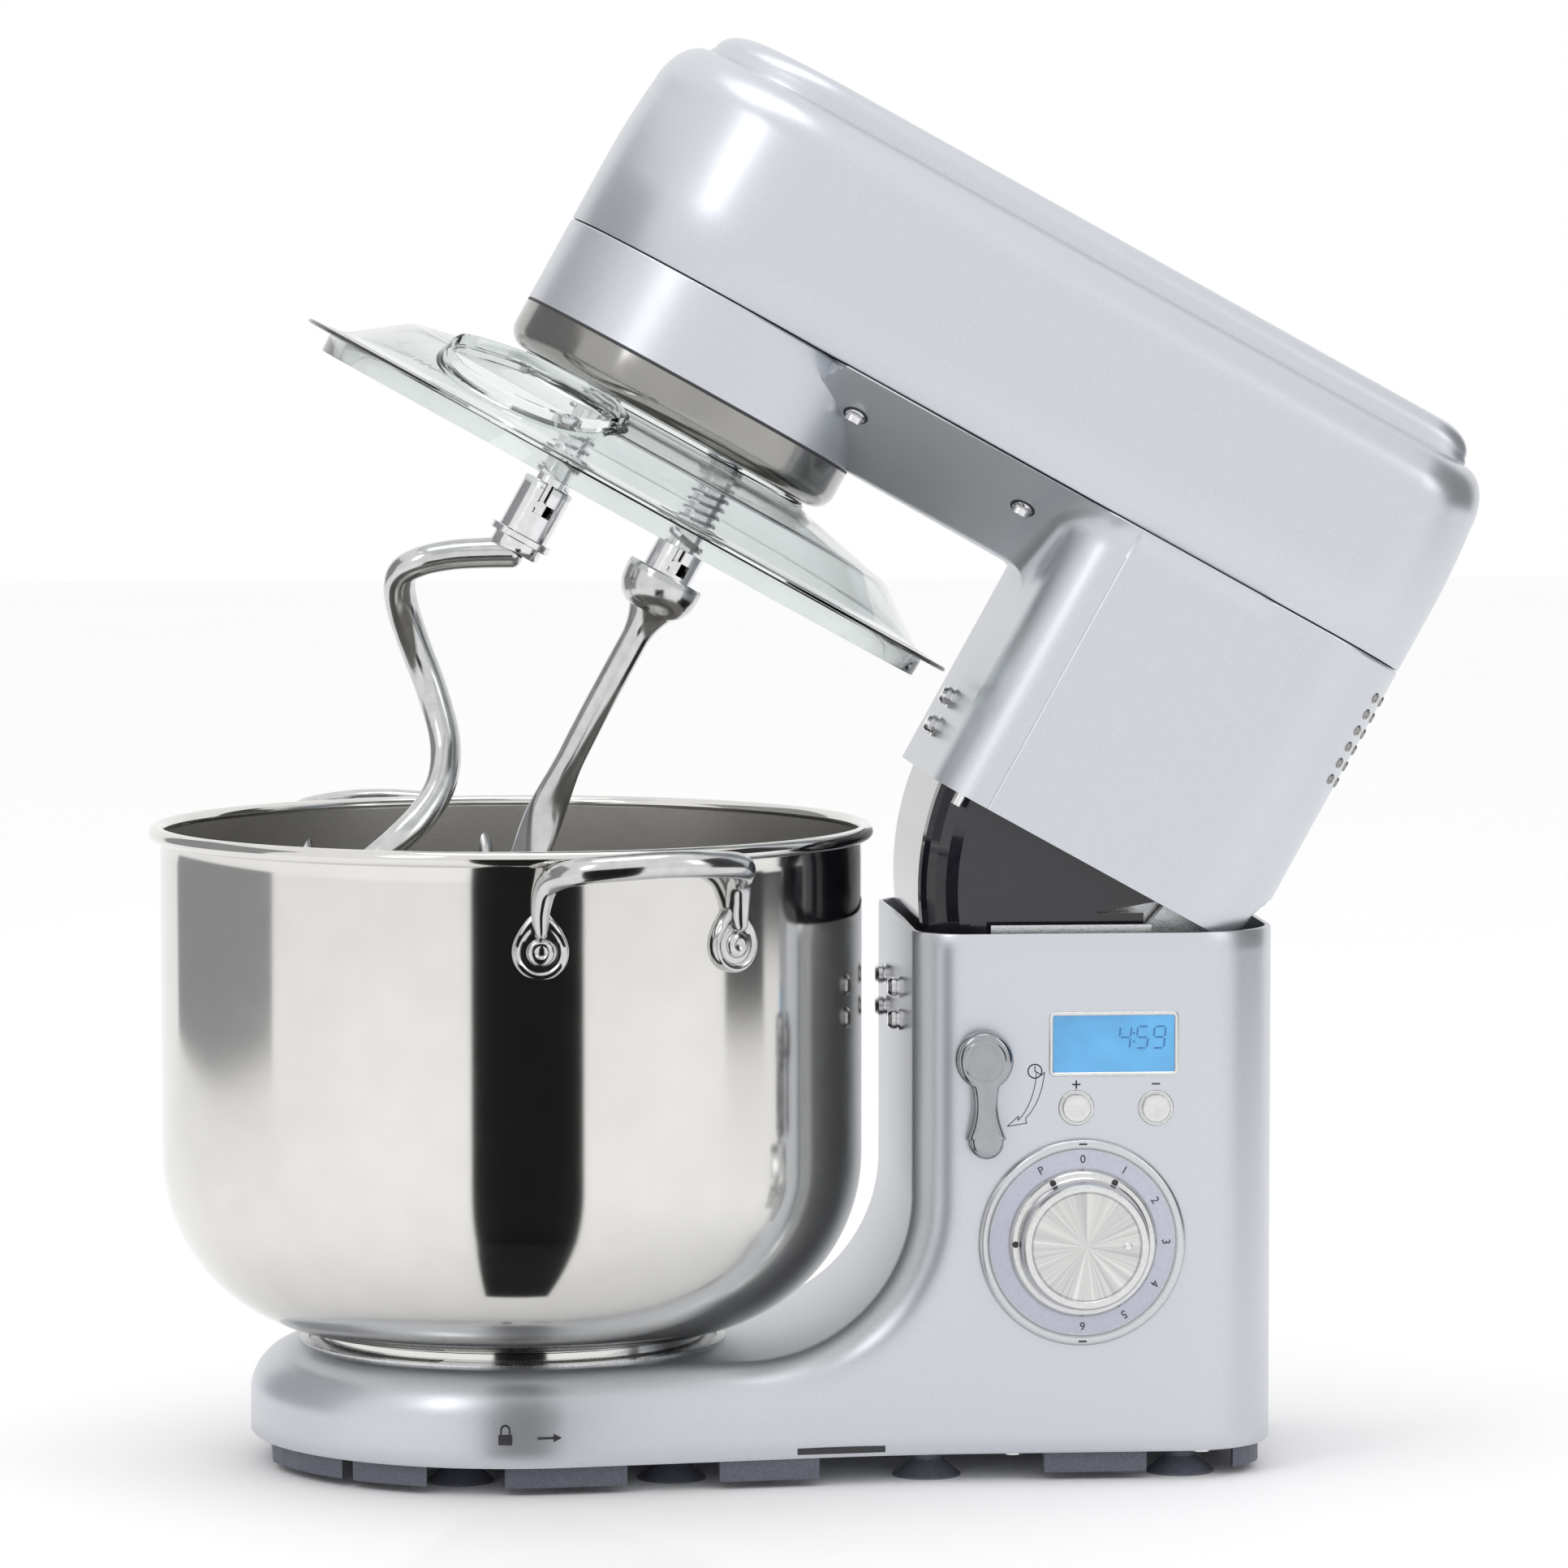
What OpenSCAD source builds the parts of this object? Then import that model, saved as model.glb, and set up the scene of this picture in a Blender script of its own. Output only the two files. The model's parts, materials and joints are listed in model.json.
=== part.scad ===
// Tilt-head stand mixer with two dough hooks, splash lid and lift-out bowl.
// Millimetres, +Z up, controls on the -Y side, bowl towards -X. Shown with the head raised.

/* [Bowl] */
// outer radius of the bowl wall
bowl_r = 134.5; // [110:0.5:150]
// height of the bowl from its flat bottom to the rim
bowl_h = 192; // [150:1:220]
// sheet thickness of the bowl
bowl_wall = 1.2; // [0.8:0.1:2.5]
// radius of the curve between wall and bottom
bowl_corner = 68; // [40:1:80]
// radius of the rolled rim bead
rim_bead = 3; // [2:0.5:4]
// diameter of the handle rod
handle_rod = 8.5; // [6:0.5:12]
// how far a handle stands out from the bowl wall
handle_reach = 33; // [25:1:45]

/* [Base] */
// radius of the round foot below the bowl
foot_r = 101; // [95:1:112]
// half width of the column
col_half_w = 82; // [78:0.5:95]
// height of the column above the table
col_top = 208; // [195:1:225]
// front face of the column, from the bowl axis
col_front = 148; // [146:1:160]
// rear face of the column, from the bowl axis
col_back = 287; // [284:1:300]
// top of the foot above the table
foot_top = 46; // [40:1:52]
// height of the housing's lower edge above the table
ground_gap = 11; // [9:0.5:14]
// wall of the base housing
base_wall = 2.5; // [2:0.25:4]

/* [Head] */
// how far the head is raised, in degrees
head_open = 29; // [5:1:29]
// radius of the round nose of the head
nose_r = 69.5; // [67:0.5:74]
// height of the joint line between the head shells, head lowered
seam_z = 329; // [327:0.5:334]
// top of the upper shell, head lowered
head_top = 410; // [400:1:430]
// wall of the head shells
head_wall = 2.5; // [2:0.25:3]
// height of the raised top cover
cover_h = 11.5; // [8:0.5:16]

/* [Controls] */
// radius of the speed dial's fixed bezel
dial_r = 39.2; // [36:0.2:42]
// how far the knob stands out from its ring
knob_h = 13.5; // [10:0.5:20]
// width of the display window
lcd_w = 47.2; // [40:0.2:50]
// height of the display window
lcd_h = 22.6; // [16:0.2:23]
// radius of the two push buttons
button_r = 5.3; // [4:0.1:6]
// travel of a push button
button_travel = 1.5; // [0.8:0.1:1.8]

/* [Tools] */
// distance of each tool spindle from the planet axis
tool_orbit = 28; // [28:1:28]
// diameter of the hook rods
hook_rod = 15; // [10:0.5:17]

/* [Hidden] */
fit = 0.04;                 // running clearance of a shaft in its bore
touch = 0.25;               // gap between parts that move past each other
foot_depth = 6;             // how deep the bowl's foot ring sits in its seat
bowl_z = foot_top + 4;      // underside of the bowl
rim_z = bowl_z + bowl_h;    // centre height of the rim bead
rim_r = bowl_r + 1.5;
tool_spacing = 2 * tool_orbit;
pivot = [col_front + 114, col_top + 14];
pin_r = 5;
lug_r = 12;
base_lug_y = [50, 56];
head_lug_y = [40, 46];
head_bottom = col_top + 0.6;
head_half_w = col_half_w - base_wall - 1;
head_back = col_back - 0.5;
rear_corner = 34;
head_rear_cx = head_back - rear_corner;
neck_front = col_front + 0.5;
keel_z = 295;
ring_z = [276.4, 294.3];    // bright ring below the nose
lid_z = rim_z + rim_bead + 0.6;
lid_r = rim_r + rim_bead;
carrier_z = [277, 284.5];
gear_z = [286, 296];
frame_z = [299, 303];
main_gear_z = [306, 314];
chassis_z = [322, 326];
belt_z = [332, 342];
pulley_x = 54;
motor_x = 214;
motor_r = 36;
dial_c = [210.6, 91.3];
lcd_c = [222.5, 166.3];
plus_c = [208.3, 142.2];
minus_c = [238.5, 141.9];
lever_c = [172.6, 161.2];
lever_len = 30.7;
bolt_c = [189.9, 177];
bolt_r = 4;
bolt_d = norm(bolt_c - pivot);
bolt_a = atan2(pivot[1] - bolt_c[1], pivot[0] - bolt_c[0]);
face_y = -col_half_w;
inner_y = face_y + base_wall;
rear_reach = pivot[0] + (head_back - pivot[0]) * cos(head_open) + (head_top - pivot[1]) * sin(head_open) - 6.5;
row_shift = (rim_r + rim_bead - rear_reach) / 2;

silver = [0.74, 0.76, 0.8];
steel = [0.78, 0.78, 0.79];
dark = [0.16, 0.17, 0.2];
$fn = 64;

// ---- placing ----
module at_base() {
  translate([row_shift, 0, 0]) children();
}

module at_head() {
  translate([row_shift + pivot[0], 0, pivot[1]])
    rotate([0, head_open, 0])
      translate([-pivot[0], 0, -pivot[1]]) children();
}

// a cylinder along +Y from y0 to y1, through the point c = [x, z]
module ycyl(c, r, y0, y1) {
  translate([c[0], y0, c[1]]) rotate([-90, 0, 0]) cylinder(r = r, h = y1 - y0);
}

// a flat plate in the XZ plane between y0 and y1; its children are drawn as [x, z]
module yplate(y0, y1) {
  translate([0, y1, 0]) rotate([90, 0, 0]) linear_extrude(y1 - y0) children();
}

module ring(r_out, r_in, z0, z1) {
  translate([0, 0, z0]) difference() {
    cylinder(r = r_out, h = z1 - z0);
    translate([0, 0, -1]) cylinder(r = r_in, h = z1 - z0 + 2);
  }
}

// ---- outlines ----
function arc(cx, cy, rx, ry, a0, a1, n) =
  [for (i = [0:n]) let (a = a0 + (a1 - a0) * i / n) [cx + rx * cos(a), cy + ry * sin(a)]];

// head seen from above, moved in by ix lengthways and iy sideways
function head_outline(ix, iy) = concat(
  arc(0, 0, nose_r - ix, nose_r - iy, 92, 268, 22),
  arc(head_rear_cx, -(head_half_w - rear_corner), rear_corner - ix, rear_corner - iy, -88, 0, 8),
  arc(head_rear_cx, head_half_w - rear_corner, rear_corner - ix, rear_corner - iy, 0, 88, 8));

function column_outline(i) = concat(
  arc(col_back - 36, col_half_w - 36, 36 - i, 36 - i, 0, 90, 8),
  arc(col_front + 22, col_half_w - 22, 22 - i, 22 - i, 90, 180, 6),
  arc(col_front + 22, -(col_half_w - 22), 22 - i, 22 - i, 180, 270, 6),
  arc(col_back - 36, -(col_half_w - 36), 36 - i, 36 - i, 270, 360, 8));

function foot_outline(i) = concat(
  arc(0, 0, foot_r - i, foot_r - i, 83, 277, 26),
  [[col_front + 20, -(col_half_w - i)]],
  arc(col_back - 36, -(col_half_w - 36), 36 - i, 36 - i, 270, 360, 8),
  arc(col_back - 36, col_half_w - 36, 36 - i, 36 - i, 0, 90, 8),
  [[col_front + 20, col_half_w - i]]);

function neck_rear_outline(i) = concat(
  arc(head_rear_cx, head_half_w - rear_corner, rear_corner - i, rear_corner - i, 0, 88, 8),
  arc(neck_front + 22, 52.9, 22 - i, 22 - i, 92, 180, 6),
  arc(neck_front + 22, -52.9, 22 - i, 22 - i, 180, 268, 6),
  arc(head_rear_cx, -(head_half_w - rear_corner), rear_corner - i, rear_corner - i, -88, 0, 8));

// ---- base ----
sweep_r = 62;
module foot_block() {
  edge = 10;
  hull() {
    translate([0, 0, ground_gap]) linear_extrude(1) polygon(foot_outline(0));
    for (a = [0, 30, 60, 90]) translate([0, 0, foot_top - edge * (1 - sin(a)) - 0.5]) linear_extrude(0.5)
      polygon(foot_outline(edge * (1 - cos(a))));
  }
}

module foot_cavity() {
  translate([0, 0, ground_gap - 1]) linear_extrude(foot_top - ground_gap - 7) polygon(foot_outline(base_wall));
  translate([0, 0, ground_gap - 1]) linear_extrude(foot_top - base_wall - ground_gap + 1)
    polygon(foot_outline(base_wall + 4));
}

module column_block(w) {
  translate([0, 0, ground_gap]) linear_extrude(col_top - ground_gap + (w > 0 ? 1 : 0)) polygon(column_outline(w));
  half = col_half_w - 16 - w;
  yplate(-half, half) polygon(concat(
    arc(col_front - sweep_r, foot_top + sweep_r, sweep_r + w, sweep_r + w, -86, -4, 9),
    [[col_front + 12, foot_top + sweep_r], [col_front + 12, foot_top - 12], [col_front - sweep_r, foot_top - 12]]));
}

post_xy = [[-86, 0], [0, 86], [0, -86], [185, 76], [185, -76], [257, 75], [257, -75]];
board_post = [[193.5, 131], [251.5, 131], [193.5, 181.5], [251.5, 181.5]];
module base_housing() color(silver) at_base() {
  difference() {
    union() {
      difference() {
        union() {
          foot_block();
          column_block(0);
        }
        foot_cavity();
        column_block(base_wall);
      }
      for (p = post_xy) translate([p[0], p[1], ground_gap + 4])
        cylinder(r = 4.5, h = foot_top - base_wall - ground_gap - 3);
      for (p = board_post) ycyl(p, 2.5, inner_y - 0.5, -72);
    }
    translate([0, 0, foot_top - 8]) cylinder(r = seat_r, h = 12);
    ycyl(dial_c, 5, face_y - 1, inner_y + 1);
    ycyl(plus_c, button_r + touch, face_y - 1, inner_y + 1);
    ycyl(minus_c, button_r + touch, face_y - 1, inner_y + 1);
    ycyl(lever_c, 4 + fit, face_y - 1, inner_y + 1);
    yplate(face_y - 1, inner_y + 1) translate(lcd_c) square([lcd_w, lcd_h], center = true);
    for (p = stud_yz) translate([col_front - 1, p[0], p[1]]) rotate([0, 90, 0]) cylinder(r = 1.6, h = base_wall + 2);
    translate([col_back - base_wall - 1, 30, 34]) rotate([0, 90, 0]) cylinder(r = 7, h = base_wall + 3);
    for (p = post_xy) translate([p[0], p[1], ground_gap]) cylinder(r = 1.7, h = 16);
  }
}

module bottom_plate() color(dark) at_base() difference() {
  translate([0, 0, ground_gap + 1.5]) linear_extrude(2.5) polygon(foot_outline(base_wall));
  for (p = post_xy) translate([p[0], p[1], 0]) cylinder(r = 1.7, h = 30);
  for (x = cup_x, s = [-1, 1]) translate([x, s * 60, 0]) cylinder(r = 3.5, h = 30);
}

module base_screws() color(steel) at_base() for (p = post_xy) translate([p[0], p[1], ground_gap - 0.9]) {
  cylinder(r = 3.5, h = 2.4);
  cylinder(r = 1.7, h = 15);
}

pad_spans = [[-93, -68], [-64, -37], [-8, 38], [73, 111], [197, 236], [270, 284]];
module underside_pads() color(dark) at_base() for (s = pad_spans, m = [-1, 1]) intersection() {
  translate([s[0], m > 0 ? 0 : -120, 3]) cube([s[1] - s[0], 120, ground_gap - 1.5]);
  difference() {
    linear_extrude(ground_gap + 1.5) polygon(foot_outline(4));
    translate([0, 0, -1]) linear_extrude(40) polygon(foot_outline(9));
  }
}

cup_x = [-23, 57, 154, 251];
module suction_feet() color(dark) at_base() for (x = cup_x, s = [-1, 1]) translate([x, s * 60, 0])
  rotate_extrude() polygon([[0, 3.5], [8, 0], [13, 0], [13, 0.8], [6, 6.5], [6, ground_gap + 1.5],
    [3.5, ground_gap + 1.5], [3.5, ground_gap + 4], [4.6, ground_gap + 4], [3.5, ground_gap + 7],
    [0, ground_gap + 7]]);

seat_r = 79.5;
foot_ring_r = 75;
module bowl_seat() color([0.45, 0.46, 0.48]) at_base() {
  ring(seat_r, foot_ring_r + 3.6, foot_top - 8, foot_top);
  ring(seat_r + 2.5, foot_ring_r + 3.6, foot_top, foot_top + 1);
  translate([0, 0, foot_top - 8]) cylinder(r = seat_r, h = 8 - foot_depth);
  for (k = [0:2]) rotate([0, 0, 120 * k + 18 - 12]) translate([0, 0, foot_top - 1])
    rotate_extrude(angle = 24) translate([foot_ring_r + 0.5, 0]) square([3.4, 2]);
}

module hinge_bracket() color([0.55, 0.56, 0.58]) at_base() {
  translate([215, inner_y, 118]) cube([35, -2 * inner_y, 3]);
  for (m = [0, 1]) mirror([0, m, 0]) difference() {
    yplate(-base_lug_y[1], -base_lug_y[0]) {
      translate(pivot) circle(r = lug_r);
      polygon([[218, 121], [250, 121], [pivot[0] + lug_r, pivot[1]], [pivot[0] - lug_r, pivot[1]], [218, 184]]);
      translate([bolt_c[0], bolt_c[1] - 7]) square([40, 14]);
      translate(bolt_c) circle(r = 7);
    }
    ycyl(pivot, pin_r, -60, -45);
    ycyl(bolt_c, bolt_r + fit, -60, -45);
  }
}

module hinge_pin() color(steel) at_base() {
  ycyl(pivot, pin_r, -base_lug_y[1], base_lug_y[1]);
  for (m = [0, 1]) mirror([0, m, 0]) ycyl(pivot, pin_r + 2, -base_lug_y[1] - 2.5, -base_lug_y[1]);
}

shield_r = 110;
shield_y = 64;
module neck_shield() color([0.03, 0.03, 0.05]) at_base() {
  translate([pivot[0], 0, pivot[1]]) rotate([90, 0, 0]) rotate([0, 0, 148]) rotate_extrude(angle = 42, $fn = 96)
    difference() {
      polygon(concat([[20, -shield_y]], arc(shield_r - 18, -shield_y + 18, 18, 18, -90, 0, 6),
        arc(shield_r - 18, shield_y - 18, 18, 18, 0, 90, 6), [[20, shield_y]]));
      polygon(concat([[19, -shield_y + 2]], arc(shield_r - 18, -shield_y + 18, 16, 16, -90, 0, 6),
        arc(shield_r - 18, shield_y - 18, 16, 16, 0, 90, 6), [[19, shield_y - 2]]));
    }
  for (m = [0, 1]) mirror([0, m, 0]) {
    translate([170, -shield_y, col_top - 10]) cube([66, 2, 16]);
    translate([170, inner_y, col_top - 10]) cube([66, -inner_y - shield_y + 1, 2]);
  }
}

module rim_strip() color([0.85, 0.86, 0.88]) at_base() for (m = [0, 1]) mirror([0, m, 0])
  translate([177, -72, col_top - 8]) cube([61, 1.5, 10.4]);

stud_yz = [[-25, 182.8], [25, 182.8], [-25, 170.3], [25, 170.3]];
module stud() {
  rotate([0, -90, 0]) rotate_extrude() polygon([[0, -3], [1.6, -3], [1.6, 0], [4.3, 0], [4.3, 1.2], [3.4, 1.6],
    [3.8, 2.4], [3.8, 4], [2.6, 5.4], [0, 5.4]]);
}
module column_studs() color(steel) at_base() for (p = stud_yz) translate([col_front, p[0], p[1]]) stud();

// ---- controls ----
module lcd_window() color([0.2, 0.55, 0.85]) at_base() {
  yplate(face_y + 0.4, inner_y) translate(lcd_c) square([lcd_w, lcd_h], center = true);
  yplate(inner_y, inner_y + 1) translate(lcd_c) square([lcd_w + 3, lcd_h + 3], center = true);
}

module display_board() color([0.1, 0.35, 0.2]) at_base() {
  yplate(inner_y + 1, -72) translate(lcd_c) square([lcd_w + 2, lcd_h + 2], center = true);
  yplate(-72, -70.4) translate([189.5, 127]) square([66, 58]);
  for (c = [plus_c, minus_c]) {
    yplate(-73.5, -72) translate(c) square([6, 6], center = true);
    ycyl(c, 1.7, -75.6, -73.5);
  }
}

module dial_bezel() color([0.8, 0.81, 0.83]) at_base() translate([dial_c[0], face_y, dial_c[1]])
  rotate([90, 0, 0]) rotate_extrude($fn = 96) polygon([[dial_r - 4, 0], [dial_r, 0], [dial_r, 1.6],
    [dial_r - 1.4, 3], [dial_r - 3.2, 3], [dial_r - 4, 2.2]]);

module speed_encoder() color([0.25, 0.25, 0.27]) at_base() difference() {
  union() {
    ycyl(dial_c, 14, inner_y, inner_y + 12);
    ycyl(dial_c, 5, face_y, inner_y);
  }
  ycyl(dial_c, 3 + fit, face_y - 1, inner_y + 10);
}

ring_gap = 0.6;
module dial_ring() color([0.6, 0.6, 0.7]) at_base() difference() {
  ycyl(dial_c, dial_r - 4 - touch, face_y - ring_gap - 1.6, face_y - ring_gap);
  ycyl(dial_c, 3, face_y - 10, face_y);
}

module speed_knob() color([0.82, 0.83, 0.85]) at_base() {
  translate([dial_c[0], face_y - ring_gap - 1.6, dial_c[1]]) rotate([90, 0, 0]) difference() {
    rotate_extrude($fn = 96) polygon([[0, 0], [28, 0], [28, 1], [26.5, 2], [24.6, 2.2], [24.2, knob_h - 1.6],
      [23.2, knob_h], [20.6, knob_h], [20.2, knob_h - 0.5], [0, knob_h - 0.5]]);
    translate([15, 0, knob_h - 1.2]) cylinder(r = 1, h = 3);
  }
  ycyl(dial_c, 3, face_y - ring_gap - 1.6, inner_y + 9);
}

module push_button(c) {
  ycyl(c, button_r, face_y - 2.2, inner_y + 0.1);
  ycyl(c, button_r + 1.5, inner_y + 0.1, inner_y + 1.1);
  ycyl(c, 2, inner_y + 1.1, -75.7 - button_travel);
}
module plus_button() color(steel) at_base() push_button(plus_c);
module minus_button() color(steel) at_base() push_button(minus_c);

module release_lever() color(steel) at_base() {
  yplate(face_y - 10, face_y - 2.5) {
    translate(lever_c) circle(r = 11);
    translate([lever_c[0] + 1.2, lever_c[1] - lever_len]) circle(r = 6.7);
    difference() {
      translate([lever_c[0] - 7, lever_c[1] - 25]) square([15, 17]);
      for (s = [-1, 1]) translate([lever_c[0] + 0.6 + s * 17, lever_c[1] - 16]) circle(r = 11.7);
    }
  }
  ycyl(lever_c, 6, face_y - 2.5, face_y - 0.3);
  ycyl(lever_c, 4, face_y - 0.3, -66);
}

module lever_cam() color([0.7, 0.7, 0.72]) at_base() difference() {
  yplate(-69, -66) {
    translate(lever_c) circle(r = 9);
    translate(lever_c) rotate(42) translate([0, -7]) square([25, 14]);
    translate(bolt_c) circle(r = 7);
  }
  ycyl(lever_c, 4, -70, -60);
}

module latch_bolt() color(steel) at_base() {
  ycyl(bolt_c, bolt_r, -65.9, -46.4);
  ycyl(bolt_c, bolt_r + 2, -65.9, -63);
}

// ---- inside the base ----
module power_board() color([0.12, 0.3, 0.2]) at_base() {
  translate([172, -40, 24]) cube([86, 80, 1.6]);
  for (x = [176, 254], y = [-36, 36]) translate([x, y, ground_gap + 4]) cylinder(r = 3, h = 24 - ground_gap - 4);
  for (y = [-22, 0, 22]) translate([196, y, 25.6]) cylinder(r = 8, h = 22);
  translate([220, -30, 25.6]) cube([10, 60, 26]);
  translate([238, -20, 25.6]) cube([14, 40, 14]);
}

module cord_inlet() color(dark) at_base() translate([col_back - base_wall, 30, 34]) rotate([0, 90, 0]) difference() {
  union() {
    translate([0, 0, -3]) cylinder(r = 9, h = 3);
    cylinder(r = 7, h = base_wall);
    translate([0, 0, base_wall]) cylinder(r = 8.5, h = 3.5);
  }
  translate([0, 0, -4]) cylinder(r = 3.5, h = 30);
}

// ---- head shells ----
module upper_solid(w) hull() {
  translate([0, 0, seam_z - (w > 0 ? 1 : 0)]) linear_extrude(1) polygon(head_outline(w, w));
  translate([0, 0, 356]) linear_extrude(0.02) polygon(head_outline(w, w));
  for (k = [0:5]) {
    a = 18 * k;
    translate([0, 0, head_top - w - 14 * (1 - sin(a)) - 0.02]) linear_extrude(0.02)
      polygon(head_outline(w + 2 + 12 * (1 - cos(a)), w + 1 + 20 * (1 - cos(a))));
  }
}

module head_top_shell() color(silver) at_head() difference() {
  upper_solid(0);
  upper_solid(head_wall);
}

module cover_solid(w) hull() {
  translate([0, 0, head_top - (w > 0 ? 1 : 0)]) linear_extrude(3) polygon(head_outline(15.5 + w, 24 + w));
  for (k = [0:3]) {
    a = 30 * k;
    translate([0, 0, head_top + cover_h - w - 6 * (1 - sin(a)) - 0.02]) linear_extrude(0.02)
      polygon(head_outline(17 + w + 11 * (1 - cos(a)), 25 + w + 7 * (1 - cos(a))));
  }
}

module top_cover() color(silver) at_head() difference() {
  cover_solid(0);
  cover_solid(2);
}

clear_r = 18;
module neck_rear_solid(i) intersection() {
  translate([0, 0, head_bottom - (i > 0 ? 1 : 0)]) linear_extrude(seam_z - head_bottom + (i > 0 ? 2 : 0))
    polygon(neck_rear_outline(i));
  yplate(-100, 100) union() {
    translate(pivot) circle(r = clear_r - i);
    polygon([[100, 180], [pivot[0], 180], [pivot[0], pivot[1] - clear_r + i], [pivot[0] + clear_r - i, pivot[1]],
      [head_back - i, pivot[1] + 9], [300, pivot[1] + 9], [300, 340], [100, 340]]);
  }
}

module neck_solid(i) hull() {
  translate([0, 0, seam_z - 1]) linear_extrude(1 + (i > 0 ? 1 : 0))
    polygon([[20, -71 + i], [160, -75 + i], [160, 75 - i], [20, 71 - i]]);
  translate([20, -17 + i * 0.6, keel_z + i]) cube([140, 34 - i * 1.2, 2]);
}

module neck_fillet(i) yplate(-17 + i, 17 - i) difference() {
  translate([neck_front - 14 + i, keel_z - 14 + i]) square([22, 22]);
  translate([neck_front - 14, keel_z - 14]) circle(r = 14 + i);
}

module lower_solid(i) {
  translate([0, 0, ring_z[1] - (i > 0 ? 1 : 0)])
    cylinder(r = nose_r - i, h = seam_z - ring_z[1] + (i > 0 ? 2 : 0), $fn = 96);
  neck_solid(i);
  neck_rear_solid(i);
  neck_fillet(i);
}

screw_x = [57.4, 130];
screw_y = 49;
screw_seat = 314;
module head_lower_shell() color(silver) at_head() {
  difference() {
    union() {
      difference() {
        lower_solid(0);
        lower_solid(head_wall);
      }
      intersection() {
        neck_solid(0);
        for (x = screw_x, s = [-1, 1]) translate([x, s * screw_y, 305]) cylinder(r = 6, h = chassis_z[0] - 305);
      }
    }
    for (x = screw_x, s = [-1, 1]) translate([x, s * screw_y, 290]) {
      cylinder(r = 2, h = 40);
      cylinder(r = 3.6, h = screw_seat - 290);
    }
    for (s = [-1, 1]) translate([pivot[0] - 12, s * 53 - 4.2, pivot[1] - 24]) cube([32, 8.4, 19.5]);
    for (z = head_stud_z) translate([neck_front - 2, 0, z]) rotate([0, 90, 0]) cylinder(r = 1.6, h = 6);
    for (s = [-1, 1]) translate([guide_xy[0], s * guide_xy[1], head_bottom - 1]) cylinder(r = 2, h = 20);
    for (i = [0:5], s = [-1, 1], j = [0, 1]) translate([head_back - 3, s * (30 + 9 * j), 281 + 7 * i])
      rotate([0, 90, 0]) cylinder(r = 1.3, h = 6);
  }
  for (s = [-1, 1]) translate([guide_xy[0], s * guide_xy[1], head_bottom + 2]) difference() {
    cylinder(r = 3.6, h = 14);
    translate([0, 0, -1]) cylinder(r = 2, h = 16);
  }
}

guide_xy = [160, 67];
module guide_pins() color(steel) at_head() for (s = [-1, 1])
  translate([guide_xy[0], s * guide_xy[1], col_top - 4]) cylinder(r = 2, h = 20);

module chrome_ring() color([0.5, 0.5, 0.52]) at_head() rotate_extrude($fn = 128)
  polygon(concat([[nose_r, ring_z[1]]],
    arc(nose_r - 8, ring_z[0] + 8, 8, 8, 0, -90, 6),
    [[60.2, ring_z[0]], [60.2, ring_z[0] + 2]],
    arc(nose_r - 8, ring_z[0] + 8, 6, 6, -90, 0, 6),
    [[nose_r - 2, ring_z[1]]]));

head_stud_z = [238.4, 226];
module head_studs() color(steel) at_head() for (z = head_stud_z) translate([neck_front, 0, z]) stud();

module neck_screws() color(steel) at_head() for (x = screw_x, s = [-1, 1]) translate([x, s * screw_y, 0]) {
  translate([0, 0, screw_seat]) cylinder(r = 2, h = chassis_z[0] - screw_seat);
  translate([0, 0, screw_seat - 2.4]) cylinder(r = 3.4, h = 2.4);
}

// ---- drive ----
module gearbox_frame() color([0.6, 0.61, 0.63]) at_head() {
  difference() {
    translate([0, 0, frame_z[0]]) cylinder(r = nose_r - head_wall, h = frame_z[1] - frame_z[0]);
    translate([0, 0, 290]) cylinder(r = 8 + fit, h = 30);
    translate([pulley_x, 0, 290]) cylinder(r = 4 + fit, h = 30);
  }
  for (a = [60, 135, 225, 300]) rotate([0, 0, a]) translate([56, 0, frame_z[1] - 1])
    cylinder(r = 5, h = chassis_z[0] - frame_z[1] + 1);
}

// spur gear with straight-flanked teeth; slack narrows each tooth
module gear2d(m, n, slack) {
  rp = m * n / 2;
  ht = 90 / n - slack * 28.6 / rp;
  t = 0.36 * m * 57.3 / rp;
  polygon([for (i = [0:n - 1]) for (p = [[-(ht + 1.25 * t), rp - 1.25 * m], [-(ht - t), rp + m * 0.92],
    [ht - t, rp + m * 0.92], [ht + 1.25 * t, rp - 1.25 * m]])
    [p[1] * cos(i * 360 / n + p[0]), p[1] * sin(i * 360 / n + p[0])]]);
}

module ring_gear() color([0.5, 0.5, 0.48]) at_head() {
  difference() {
    translate([0, 0, gear_z[0]]) cylinder(r = 52, h = frame_z[0] - gear_z[0]);
    translate([0, 0, gear_z[0] - 1]) linear_extrude(gear_z[1] - gear_z[0] + 2) ring_teeth();
    translate([0, 0, gear_z[1]]) cylinder(r = 47, h = 10);
  }
}

// the space between the inward teeth of the ring gear
module ring_teeth() {
  m = 2;
  rp = 42;
  ht = 90 / 42 + 0.35;
  t = 0.36 * m * 57.3 / rp;
  polygon([for (i = [0:41]) for (p = [[-(ht + 1.0 * t), rp - m * 0.85], [-(ht - 1.25 * t), rp + 1.25 * m],
    [ht - 1.25 * t, rp + 1.25 * m], [ht + 1.0 * t, rp - m * 0.85]])
    [p[1] * cos(i * 360 / 42 + p[0]), p[1] * sin(i * 360 / 42 + p[0])]]);
}

module planet_gear(s) color([0.55, 0.55, 0.57]) at_head() translate([s * tool_orbit, 0, gear_z[0]]) difference() {
  linear_extrude(gear_z[1] - gear_z[0]) gear2d(2, 14, 0.25);
  translate([0, 0, -1]) cylinder(r = 6, h = 20);
}
module planet_gear_a() planet_gear(-1);
module planet_gear_b() planet_gear(1);

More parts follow.
